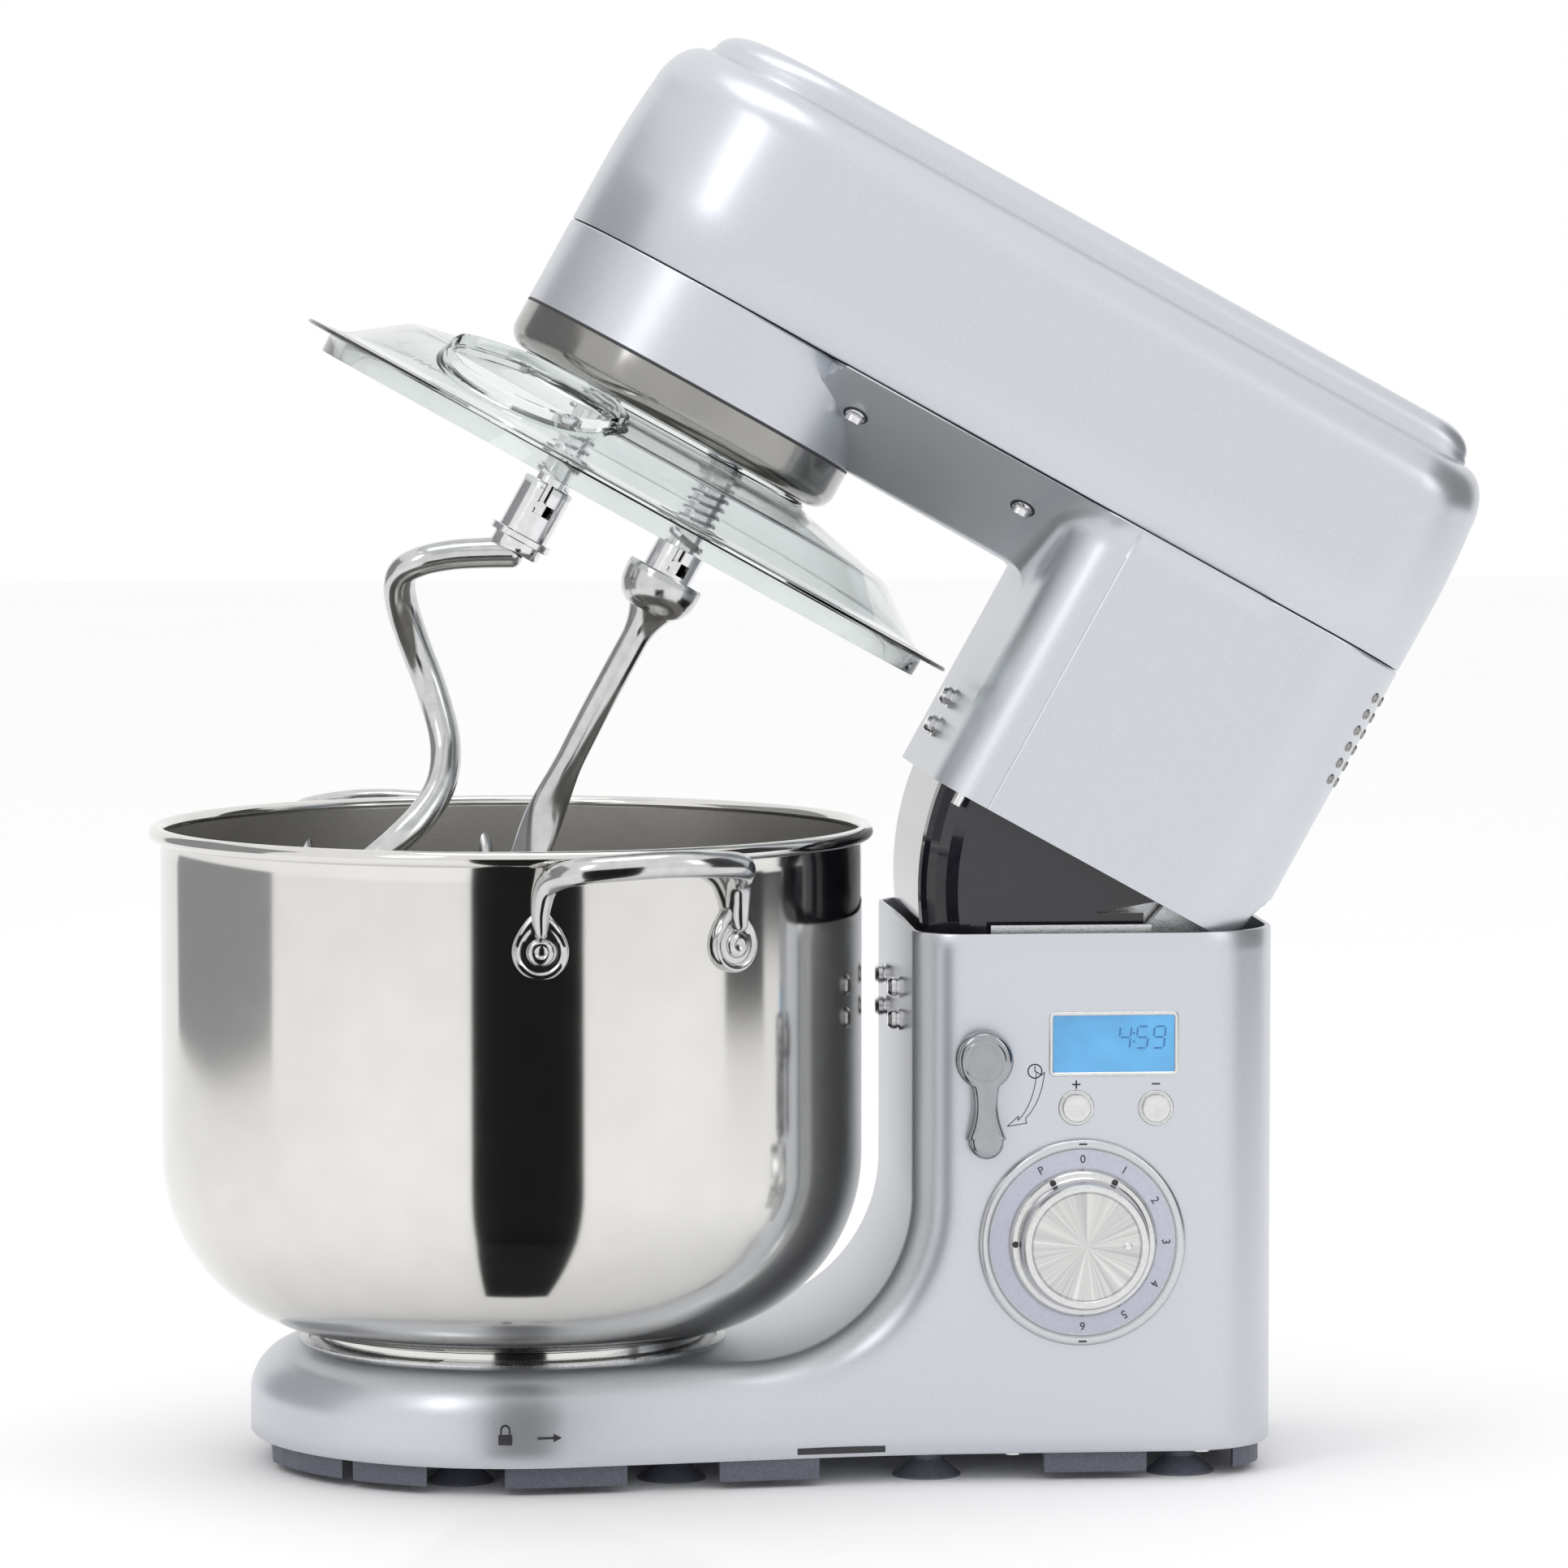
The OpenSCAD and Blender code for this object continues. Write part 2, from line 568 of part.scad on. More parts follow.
module chassis_plate() color([0.66, 0.67, 0.69]) at_head() difference() {
  translate([0, 0, chassis_z[0]]) linear_extrude(chassis_z[1] - chassis_z[0])
    intersection() {
      polygon(head_outline(head_wall, head_wall));
      square([600, 110], center = true);
    }
  translate([0, 0, 320]) cylinder(r = 5 + fit, h = 10);
  translate([pulley_x, 0, 320]) cylinder(r = 4 + fit, h = 10);
  translate([motor_x, 0, 320]) cylinder(r = 8, h = 10);
}

module main_shaft() color(steel) at_head() {
  translate([0, 0, carrier_z[1]]) cylinder(r = 8, h = main_gear_z[1] - carrier_z[1] + 4);
  translate([0, 0, main_gear_z[1] + 4]) cylinder(r = 5, h = chassis_z[1] - main_gear_z[1] - 4);
}

module main_gear() color([0.85, 0.82, 0.7]) at_head() difference() {
  translate([0, 0, main_gear_z[0]]) linear_extrude(main_gear_z[1] - main_gear_z[0]) gear2d(1.5, 60, 0.3);
  translate([0, 0, 300]) cylinder(r = 8, h = 30);
  for (k = [0:5]) rotate([0, 0, 60 * k]) translate([26, 0, 300]) cylinder(r = 8, h = 30);
}

module pinion_shaft() color(steel) at_head() translate([pulley_x, 0, 0]) {
  translate([0, 0, frame_z[0]]) cylinder(r = 4, h = belt_z[1] + 2 - frame_z[0]);
  translate([0, 0, main_gear_z[0] - 1]) linear_extrude(main_gear_z[1] - main_gear_z[0] + 2)
    rotate(15) gear2d(1.5, 12, 0.25);
}

big_pulley_r = 42;
small_pulley_r = 9;
module pulley(r, bore) difference() {
  rotate_extrude() polygon([[0, -1], [r + 2, -1], [r + 2, -0.3], [r - touch, 0.3], [r - touch, 9.7],
    [r + 2, 10.3], [r + 2, 11], [0, 11]]);
  translate([0, 0, -2]) cylinder(r = bore, h = 20);
}

module belt_pulley() color([0.75, 0.75, 0.76]) at_head() translate([pulley_x, 0, belt_z[0]]) difference() {
  pulley(big_pulley_r, 4);
  for (k = [0:4]) rotate([0, 0, 72 * k]) translate([24, 0, -2]) cylinder(r = 9, h = 20);
}

function belt_line(e) =
  let (b = acos((big_pulley_r - small_pulley_r) / (motor_x - pulley_x)))
  concat(arc(pulley_x, 0, big_pulley_r + e, big_pulley_r + e, b, 360 - b, 36),
    arc(motor_x, 0, small_pulley_r + e, small_pulley_r + e, -b, b, 14));
module drive_belt() color([0.08, 0.08, 0.08]) at_head()
  translate([0, 0, belt_z[0] + 1]) linear_extrude(belt_z[1] - belt_z[0] - 2) difference() {
    polygon(belt_line(1.8));
    polygon(belt_line(0.15));
  }

motor_z = [240, chassis_z[0]];
module motor_housing() color([0.35, 0.36, 0.38]) at_head() translate([motor_x, 0, 0]) {
  difference() {
    translate([0, 0, motor_z[0]]) cylinder(r = motor_r, h = motor_z[1] - motor_z[0]);
    translate([0, 0, motor_z[0] + 3]) cylinder(r = motor_r - 3, h = motor_z[1] - motor_z[0] - 6);
    translate([0, 0, 200]) cylinder(r = 4 + fit, h = 200);
  }
}

module motor_rotor() color([0.7, 0.45, 0.25]) at_head() translate([motor_x, 0, 0]) {
  translate([0, 0, 231]) cylinder(r = 4, h = belt_z[1] + 3 - 231);
  translate([0, 0, 252]) cylinder(r = 26, h = 56);
  translate([0, 0, belt_z[0]]) pulley(small_pulley_r, 3);
}

module cooling_fan() color([0.2, 0.2, 0.22]) at_head() translate([motor_x, 0, 231]) difference() {
  union() {
    cylinder(r = 9, h = 7);
    for (k = [0:7]) rotate([0, 0, 45 * k]) translate([5, -1, 0]) cube([24, 2, 7]);
    ring(30, 28, 0, 7);
  }
  translate([0, 0, -1]) cylinder(r = 4, h = 20);
}

module head_bracket() color([0.55, 0.56, 0.58]) at_head() for (m = [0, 1]) mirror([0, m, 0]) difference() {
  yplate(-head_lug_y[1], -head_lug_y[0]) {
    translate(pivot) circle(r = lug_r);
    polygon([[pivot[0] - lug_r, pivot[1]], [pivot[0] + lug_r, pivot[1]], [pivot[0] + 10, chassis_z[0]],
      [pivot[0] - 24, chassis_z[0]]]);
    if (m == 0) intersection() {
      difference() {
        translate(pivot) circle(r = bolt_d + 8);
        translate(pivot) circle(r = bolt_d - 12);
      }
      polygon([pivot, pivot + 140 * [-cos(bolt_a - 8), -sin(bolt_a - 8)],
        pivot + 140 * [-cos(bolt_a + head_open + 8), -sin(bolt_a + head_open + 8)]]);
    }
    if (m == 0) translate(pivot) rotate(180 + bolt_a + head_open / 2) translate([0, -7]) square([80, 14]);
  }
  ycyl(pivot, pin_r + fit, -60, -30);
  if (m == 0) {
    ycyl(bolt_c, bolt_r + touch, -60, -30);
    ycyl(pivot + bolt_d * [-cos(bolt_a + head_open), -sin(bolt_a + head_open)], bolt_r + touch, -60, -30);
  }
}

// ---- tools ----
module planet_carrier() color([0.7, 0.7, 0.72]) at_head() difference() {
  translate([0, 0, carrier_z[0]]) cylinder(r = 54, h = carrier_z[1] - carrier_z[0]);
  for (s = [-1, 1]) translate([s * tool_orbit, 0, 270]) cylinder(r = 6 + fit, h = 20);
}

collar_z = 268;
sleeve_a = [210, 235.6];
sleeve_b = [226, 240.4];
module spindle(s, sleeve) color(steel) at_head() translate([s * tool_orbit, 0, 0]) {
  translate([0, 0, sleeve[0] + 1.6]) cylinder(r = 6, h = gear_z[1] - sleeve[0] - 1.6);
  translate([0, 0, collar_z]) cylinder(r = 9.5, h = 3);
  translate([0, -12, sleeve[1] - 9]) rotate([-90, 0, 0]) cylinder(r = 2, h = 24);
}
module spindle_a() spindle(-1, sleeve_a);
module spindle_b() spindle(1, sleeve_b);

module spindle_spring_a() spring(-1, sleeve_a[1]);
module spindle_spring_b() spring(1, sleeve_b[1]);

// helical spring round the spindle between the tool and the spindle's collar
module spring(s, z0) color([0.6, 0.6, 0.62]) at_head() translate([s * tool_orbit, 0, 0])
  coil(7.4, 1, z0, collar_z, 5.5);

module coil(r, w, z0, z1, turns) {
  n = 16 * turns;
  rise = (z1 - z0 - 2 * w - 0.2) / n;
  sweep([for (i = [0:n]) [r * cos(i * 360 / 16), r * sin(i * 360 / 16), z0 + w + 0.1 + rise * i]],
    [for (i = [0:n]) [w, w, 0]], 6);
}

// tube through the points of path; size[i] = [half width, half height, twist]
module sweep(path, size, sides) {
  n = len(path);
  rings = [for (i = [0:n - 1]) let (
      t = path[min(i + 1, n - 1)] - path[max(i - 1, 0)],
      d = t / norm(t),
      ref = abs(d[1]) > 0.9 ? [1, 0, 0] : [0, 1, 0],
      u0 = ref - d * (d * ref),
      u = u0 / norm(u0),
      v = cross(d, u),
      c = size[i])
    [for (k = [0:sides - 1]) let (a = 360 * k / sides, p = c[0] * cos(a), q = c[1] * sin(a))
      path[i] + u * (p * cos(c[2]) - q * sin(c[2])) + v * (p * sin(c[2]) + q * cos(c[2]))]];
  points = [for (r = rings) each r];
  faces = concat(
    [[for (k = [0:sides - 1]) k]],
    [for (i = [0:n - 2]) for (k = [0:sides - 1]) let (a = i * sides + k, b = i * sides + (k + 1) % sides)
      each [[b, a, a + sides], [b, a + sides, b + sides]]],
    [[for (k = [sides - 1:-1:0]) (n - 1) * sides + k]]);
  polyhedron(points = points, faces = faces);
}

module tool_sleeve(z0, z1, r) difference() {
  translate([0, 0, z0]) cylinder(r = r, h = z1 - z0);
  translate([0, 0, z0 + 1.4]) cylinder(r = 6, h = z1 - z0);
  translate([-2, -20, z1 - 11]) cube([4, 40, 20]);
}

// the left hook: out from the axis, round and back in a spiral
hook_a_path = [for (i = [0:24]) let (h = 146 * i / 24, a = 180 - 180 * min(max((h - 24) / 76, 0), 1.35),
  r = 33.6 * sin(min(3 * h, 90)) - 15 * min(max((h - 31) / 69, 0), 1))
  [r * cos(a), r * sin(a) * 0.8, 206 - h]];
module dough_hook_a() color(steel) at_head() translate([-tool_orbit, 0, 0]) {
  tool_sleeve(sleeve_a[0], sleeve_a[1], 10);
  ring(12.4, 9.9, 211.5, 214);
  sweep(hook_a_path, [for (i = [0:24]) [hook_rod / 2 * (1 - 0.01 * i), hook_rod / 2 * 0.85, 0]], 14);
  translate([0, 0, 206]) cylinder(r1 = 7, r2 = 10, h = 4);
}

// the right hook: a straight rod that flattens into a curved blade
hook_b_path = [for (i = [0:20]) let (t = i / 20) [1 + 22 * pow(t, 4), 12 * pow(max(t - 0.45, 0), 1.5), 214 - 154 * t]];
module dough_hook_b() color(steel) at_head() translate([tool_orbit, 0, 0]) {
  tool_sleeve(sleeve_b[0], sleeve_b[1], 10);
  translate([0, 0, sleeve_b[0]]) difference() {
    sphere(r = 15.5);
    translate([-20, -20, 0]) cube([40, 40, 20]);
    sphere(r = 12.8);
  }
  translate([0, 0, 212]) cylinder(r = 7, h = 14.5);
  sweep(hook_b_path, [for (i = [0:20]) let (f = min(max((i - 9) / 5, 0), 1))
    [hook_rod / 2 * (0.72 - 0.36 * f), hook_rod / 2 * (0.72 + 0.55 * f), 90 * f * 0.5]], 14);
}

// ---- lid ----
module splash_lid() color([0.75, 0.82, 0.8, 0.45]) at_head() difference() {
  union() {
    rotate_extrude($fn = 128) polygon([[126.6, lid_z - 7], [129, lid_z - 7], [129, lid_z], [lid_r, lid_z],
      [lid_r, lid_z + 2], [126, lid_z + 3], [103, lid_z + 19], [67, lid_z + 27], [60.2, lid_z + 29],
      [60.2, carrier_z[0] + 1], [57.6, carrier_z[0] + 1], [57.6, lid_z + 27.2], [66.4, lid_z + 24.8],
      [102, lid_z + 16.8], [126, lid_z]]);
    feed_place() linear_extrude(40) scale([1, 0.62]) circle(r = 40);
  }
  feed_place() translate([0, 0, -20]) linear_extrude(80) scale([1, 0.6]) circle(r = 37.5);
  translate([0, 0, lid_z - 20]) rotate_extrude($fn = 128) polygon([[0, 0], [126, 0], [126, 20], [102, 36.8],
    [66.4, 44.8], [57.6, 47.2], [57.6, 60], [0, 60]]);
  translate([0, 0, lid_z + 1]) rotate_extrude($fn = 128) polygon([[0, 60], [0, 34], [60, 34], [67, 32],
    [103, 24], [126, 9], [150, 9], [150, 60]]);
}
module feed_place() rotate([0, 0, 234]) translate([94, 0, lid_z - 2]) rotate([0, 0, 90]) children();

// ---- bowl ----
function bowl_half(o) = concat(
  arc(bowl_r - bowl_corner, bowl_z + bowl_corner, bowl_corner - o, bowl_corner - o, -90, 0, 14),
  [[bowl_r - o, rim_z]]);
module mixing_bowl() color(steel) at_base() {
  rotate_extrude($fn = 128) difference() {
    polygon(concat([[0, bowl_z]], bowl_half(0), [[0, rim_z]]));
    polygon(concat([[-1, bowl_z + bowl_wall]], bowl_half(bowl_wall), [[bowl_r - bowl_wall, rim_z + 1],
      [-1, rim_z + 1]]));
  }
  rotate_extrude($fn = 128) translate([rim_r, rim_z]) circle(r = rim_bead, $fn = 24);
}

module bowl_foot() color(steel) at_base() {
  rotate_extrude() polygon([[62, bowl_z], [66, bowl_z], [foot_ring_r, bowl_z + 0.25],
    [foot_ring_r, foot_top - foot_depth], [foot_ring_r - 2, foot_top - foot_depth],
    [foot_ring_r - 3, bowl_z - 2], [62, bowl_z - 2]]);
  for (k = [0:2]) rotate([0, 0, 120 * k + 18 - 10]) translate([0, 0, foot_top - foot_depth + 0.5])
    rotate_extrude(angle = 20) translate([foot_ring_r - 0.5, 0]) square([3.4, 4]);
}

handle_turn = 18;
pad_turn = 16.5;
pad_z = rim_z - 34;
module at_pad(s) rotate([0, 0, handle_turn - 90 + s * pad_turn]) translate([0, 0, pad_z]) children();
function handle_point(i) = let (a = -90 + 10 * i, s = sin(a), c = cos(a))
  [(bowl_r + 2.5) * cos(pad_turn) + 1.5 + handle_reach * pow(max(c, 0), 0.6), 38.5 * s,
    pad_z + 9 + 23 * pow(max(c, 0), 0.5)];
module bowl_handles() color(steel) at_base() for (h = [0, 180]) rotate([0, 0, h]) {
  for (s = [-1, 1]) at_pad(s) difference() {
    intersection() {
      rotate([0, 90, 0]) union() {
        cylinder(r = 10.5, h = 150);
        translate([-15, -6, 0]) cube([15, 12, 150]);
      }
      ring(bowl_r + 3, bowl_r, -30, 30);
    }
    rotate([0, 90, 0]) cylinder(r = 3, h = 150);
  }
  rotate([0, 0, handle_turn - 90]) sweep([for (i = [0:18]) handle_point(i)],
    [for (i = [0:18]) [handle_rod / 2, handle_rod / 2, 0]], 14);
}

module handle_rivets() color(steel) at_base() for (h = [0, 180], s = [-1, 1]) rotate([0, 0, h]) at_pad(s)
  rotate([0, 90, 0]) {
    translate([0, 0, bowl_r]) cylinder(r = 3, h = 3);
    translate([0, 0, bowl_r + 3]) cylinder(r1 = 4.6, r2 = 3, h = 1.4);
  }

base_housing();
bottom_plate();
base_screws();
underside_pads();
suction_feet();
bowl_seat();
hinge_bracket();
hinge_pin();
neck_shield();
rim_strip();
column_studs();
lcd_window();
display_board();
dial_bezel();
speed_encoder();
power_board();
cord_inlet();
speed_knob();
dial_ring();
plus_button();
minus_button();
release_lever();
lever_cam();
latch_bolt();
head_top_shell();
top_cover();
head_lower_shell();
chrome_ring();
gearbox_frame();
ring_gear();
chassis_plate();
motor_housing();
head_bracket();
neck_screws();
head_studs();
guide_pins();
splash_lid();
drive_belt();
motor_rotor();
cooling_fan();
belt_pulley();
pinion_shaft();
planet_carrier();
main_gear();
main_shaft();
spindle_a();
planet_gear_a();
spindle_spring_a();
dough_hook_a();
spindle_b();
planet_gear_b();
spindle_spring_b();
dough_hook_b();
mixing_bowl();
bowl_foot();
bowl_handles();
handle_rivets();
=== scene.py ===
import json
import math

import bmesh
import bpy
import numpy as np
from mathutils import Matrix, Vector


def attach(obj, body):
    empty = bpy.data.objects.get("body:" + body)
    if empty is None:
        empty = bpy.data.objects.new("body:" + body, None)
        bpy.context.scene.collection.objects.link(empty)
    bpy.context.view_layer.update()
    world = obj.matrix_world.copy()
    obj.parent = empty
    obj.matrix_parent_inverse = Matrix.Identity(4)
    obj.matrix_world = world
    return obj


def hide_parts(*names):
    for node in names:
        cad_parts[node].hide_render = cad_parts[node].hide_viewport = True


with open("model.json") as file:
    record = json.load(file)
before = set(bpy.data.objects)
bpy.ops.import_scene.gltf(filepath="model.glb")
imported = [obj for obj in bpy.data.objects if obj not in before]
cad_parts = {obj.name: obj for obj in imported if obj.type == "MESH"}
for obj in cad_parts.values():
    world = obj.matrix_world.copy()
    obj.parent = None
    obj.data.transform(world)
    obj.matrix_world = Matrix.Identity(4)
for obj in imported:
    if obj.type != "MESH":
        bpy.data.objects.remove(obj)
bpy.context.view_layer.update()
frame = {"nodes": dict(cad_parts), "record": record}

# ---- places, in millimetres, with the head closed and the bowl's axis at x = 0 ----
JOINTS = {j["name"]: j for j in frame["record"]["behaviour"]["joints"]}
MM = 0.001
AXIS_X = JOINTS["bowl_twist"]["pos_m"][0]
PIVOT = ((JOINTS["head_tilt"]["pos_m"][0] - AXIS_X) / MM, JOINTS["head_tilt"]["pos_m"][2] / MM)
OPEN = math.radians(-JOINTS["head_tilt"]["range_deg"][0])
AT_BASE = Matrix.Translation((AXIS_X, 0, 0)) @ Matrix.Scale(MM, 4)
AT_HEAD = (AT_BASE @ Matrix.Translation((PIVOT[0], 0, PIVOT[1])) @ Matrix.Rotation(OPEN, 4, "Y")
           @ Matrix.Translation((-PIVOT[0], 0, -PIVOT[1])))

COL_FRONT, COL_BACK, COL_HALF, COL_TOP = 148.0, 287.0, 82.0, 208.0
FOOT_R, FOOT_TOP, GROUND_GAP = 101.0, 46.0, 11.0
NOSE_R, SEAM_Z, HEAD_TOP, COVER_TOP = 69.5, 329.0, 410.0, 421.5
HEAD_BACK, HEAD_HALF, HEAD_CORNER = 286.5, 78.5, 34.0
HEAD_BOTTOM, KEEL_Z, RING_Z = 208.6, 295.0, (276.4, 294.3)
BOWL_R, BOWL_Z, RIM_Z, BOWL_CORNER, RIM_BEAD, WALL = 134.5, 50.0, 242.0, 68.0, 3.0, 1.2
LID_Z = 245.6
ORBIT = 28.0
FACE_Y = -COL_HALF
DIAL, LEVER = (210.6, 91.3), (172.6, 161.2)
LCD, PLUS, MINUS = (222.5, 166.3), (208.3, 142.2), (238.5, 141.9)

# ---- materials ----
def material(name, colour, metallic=0.0, rough=0.4, vary=0.06, grain=400.0, bump=0.02, stretch=(1, 1, 1), **sockets):
    """A principled surface whose colour, roughness and height vary with fine noise in object space."""
    m = bpy.data.materials.new(name)
    m.use_nodes = True
    nt = m.node_tree
    p = nt.nodes["Principled BSDF"]
    p.inputs["Metallic"].default_value = metallic
    for key, value in sockets.items():
        p.inputs[key.replace("_", " ")].default_value = value
    coord = nt.nodes.new("ShaderNodeTexCoord")
    mapping = nt.nodes.new("ShaderNodeMapping")
    mapping.inputs["Scale"].default_value = stretch
    nt.links.new(coord.outputs["Object"], mapping.inputs["Vector"])
    noise = nt.nodes.new("ShaderNodeTexNoise")
    noise.inputs["Scale"].default_value = grain
    noise.inputs["Detail"].default_value = 4
    nt.links.new(mapping.outputs["Vector"], noise.inputs["Vector"])
    ramp = nt.nodes.new("ShaderNodeValToRGB")
    for element, k, at in zip(ramp.color_ramp.elements, (1 - vary, 1 + vary), (0.35, 0.65)):
        element.color = [min(c * k, 1) for c in colour[:3]] + [1]
        element.position = at
    nt.links.new(noise.outputs["Fac"], ramp.inputs["Fac"])
    nt.links.new(ramp.outputs["Color"], p.inputs["Base Color"])
    spread = nt.nodes.new("ShaderNodeMapRange")
    spread.inputs["To Min"].default_value = rough * 0.88
    spread.inputs["To Max"].default_value = min(rough * 1.12, 1)
    nt.links.new(noise.outputs["Fac"], spread.inputs["Value"])
    nt.links.new(spread.outputs["Result"], p.inputs["Roughness"])
    if bump:
        b = nt.nodes.new("ShaderNodeBump")
        b.inputs["Strength"].default_value = bump
        b.inputs["Distance"].default_value = 0.0005
        nt.links.new(noise.outputs["Fac"], b.inputs["Height"])
        nt.links.new(b.outputs["Normal"], p.inputs["Normal"])
    return m


PAINT = material("silver_paint", (0.60, 0.62, 0.66), 0.75, 0.33, 0.05, 2500, 0.03, Coat_Weight=0.15, Coat_Roughness=0.2)
STEEL = material("polished_steel", (0.72, 0.71, 0.685), 1.0, 0.10, 0.02, 60, 0.01)
CAST = material("cast_steel", (0.60, 0.60, 0.60), 1.0, 0.16, 0.06, 180, 0.06)
RING = material("dark_chrome", (0.33, 0.325, 0.31), 1.0, 0.14, 0.03, 60, 0.01)
BRIGHT = material("bright_metal", (0.75, 0.75, 0.76), 1.0, 0.14, 0.04, 300, 0.02)
BRUSHED = material("brushed_metal", (0.68, 0.69, 0.70), 1.0, 0.28, 0.10, 900, 0.10, (1, 1, 1))
ALUMINIUM = material("cast_aluminium", (0.55, 0.56, 0.57), 0.9, 0.45, 0.10, 700, 0.2)
BLACK = material("gloss_black", (0.012, 0.012, 0.018), 0.0, 0.12, 0.2, 300, 0.01, Coat_Weight=0.5)
DARK = material("matte_dark", (0.03, 0.03, 0.035), 0.0, 0.55, 0.2, 800, 0.1)
RUBBER = material("grey_rubber", (0.10, 0.105, 0.135), 0.0, 0.5, 0.15, 900, 0.15)
BOARD = material("circuit_board", (0.03, 0.16, 0.08), 0.0, 0.4, 0.2, 250, 0.1)
NYLON = material("nylon", (0.75, 0.72, 0.60), 0.0, 0.45, 0.05, 400, 0.05)
COPPER = material("windings", (0.55, 0.25, 0.12), 0.8, 0.35, 0.2, 900, 0.3, (1, 1, 0.1))
DIAL_RING = material("violet_ring", (0.52, 0.53, 0.62), 0.35, 0.4, 0.04, 800, 0.02)
INK = material("dark_print", (0.03, 0.03, 0.04), 0.0, 0.5, 0.2, 800, 0.0)
LCD_BLUE = material("backlit_blue", (0.09, 0.34, 0.62), 0.0, 0.3, 0.14, 45, 0.0, Coat_Weight=0.6,
                    Emission_Color=(0.10, 0.40, 0.80, 1), Emission_Strength=0.12)
LCD_INK = material("display_digits", (0.05, 0.20, 0.42), 0.0, 0.4, 0.1, 400, 0.0)
GLASS = material("clear_lid", (0.84, 0.87, 0.86), 0.0, 0.03, 0.02, 30, 0.003, Transmission_Weight=1.0, IOR=1.42)


# ---- mesh tools ----
def finish_mesh(name, verts, faces, mat, body, at=AT_BASE, replaces=(), sharp=38, bevel=0, smooth=True):
    mesh = bpy.data.meshes.new(name)
    mesh.from_pydata([tuple(v) for v in verts], [], faces)
    mesh.transform(at)
    obj = bpy.data.objects.new(name, mesh)
    return add_piece(obj, mat, body, replaces, sharp, bevel, smooth)


def add_piece(obj, mat, body, replaces=(), sharp=38, bevel=0, smooth=True):
    mesh = obj.data
    b = bmesh.new()
    b.from_mesh(mesh)
    bmesh.ops.remove_doubles(b, verts=b.verts, dist=1e-6)
    bmesh.ops.recalc_face_normals(b, faces=b.faces)
    b.to_mesh(mesh)
    b.free()
    if obj.name not in bpy.context.scene.collection.objects:
        bpy.context.scene.collection.objects.link(obj)
    mesh.materials.clear()
    mesh.materials.append(mat)
    if smooth:
        mesh.shade_smooth()
        mesh.set_sharp_from_angle(angle=math.radians(sharp))
    if bevel:
        mod = obj.modifiers.new("edge", "BEVEL")
        mod.width = bevel * MM
        mod.segments = 3
        mod.limit_method = "ANGLE"
        mod.angle_limit = math.radians(sharp)
        mod.harden_normals = True
    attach(obj, body)
    if replaces:
        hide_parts(*replaces)
    return obj


def arc(cx, cy, rx, ry, a0, a1, n):
    return [(cx + rx * math.cos(math.radians(a0 + (a1 - a0) * i / n)),
             cy + ry * math.sin(math.radians(a0 + (a1 - a0) * i / n))) for i in range(n + 1)]


def loft(rings, cap_start=True, cap_end=True):
    """Vertices and faces of a tube through equal closed rings."""
    n = len(rings[0])
    verts = [p for ring in rings for p in ring]
    faces = [(i * n + k, i * n + (k + 1) % n, (i + 1) * n + (k + 1) % n, (i + 1) * n + k)
             for i in range(len(rings) - 1) for k in range(n)]
    if cap_start:
        faces.append(tuple(range(n)))
    if cap_end:
        faces.append(tuple(range((len(rings) - 1) * n, len(rings) * n)))
    return verts, faces


def lathe(profile, n=160, centre=(0, 0), closed=True, caps=True):
    """A profile of (r, z) points turned about a vertical axis."""
    rings = [[(centre[0] + r * math.cos(2 * math.pi * k / n), centre[1] + r * math.sin(2 * math.pi * k / n), z)
              for k in range(n)] for r, z in profile]
    if closed:
        rings.append(rings[0])
    return loft(rings, caps and not closed and profile[0][0] > 0.001, caps and not closed and profile[-1][0] > 0.001)


def inset_loft(outline, levels, cap_start=True, cap_end=True):
    """outline(ix, iy) gives a ring in plan; levels are (z, ix, iy)."""
    return loft([[(x, y, z) for x, y in outline(ix, iy)] for z, ix, iy in levels], cap_start, cap_end)


def ray_solid(inside, centre, angles, levels, reach):
    """Horizontal sections of a solid that is star-shaped about centre: inside(x, y, z) says what it fills."""
    c, s = np.cos(angles), np.sin(angles)
    rings = []
    for z in levels:
        low, high = np.zeros(len(angles)), np.full(len(angles), float(reach))
        for _ in range(26):
            mid = (low + high) / 2
            hit = inside(centre[0] + mid * c, centre[1] + mid * s, z)
            low, high = np.where(hit, mid, low), np.where(hit, high, mid)
        rings.append([(centre[0] + r * x, centre[1] + r * y, z) for r, x, y in zip(low, c, s)])
    return rings


def round_edge(z, r, up=True, steps=8):
    """(z, inset) pairs of a rounded edge that ends at height z."""
    out = []
    for i in range(steps + 1):
        a = math.pi / 2 * i / steps
        out.append((z - r * (1 - math.sin(a)) if up else z + r * (1 - math.sin(a)), r * (1 - math.cos(a))))
    return out if up else out[::-1]


# ---- base and column: one shell whose L-shaped inner edge is rounded all along ----
EDGE_R, SWEEP_R = 20.0, 62.0
SIDE_A, SIDE_B, BLEND = (12.3, 100.3), (168.0, COL_HALF), 60.0
FLARE = (SIDE_A[1] - SIDE_B[1]) / (SIDE_B[0] - SIDE_A[0] - BLEND / 2)


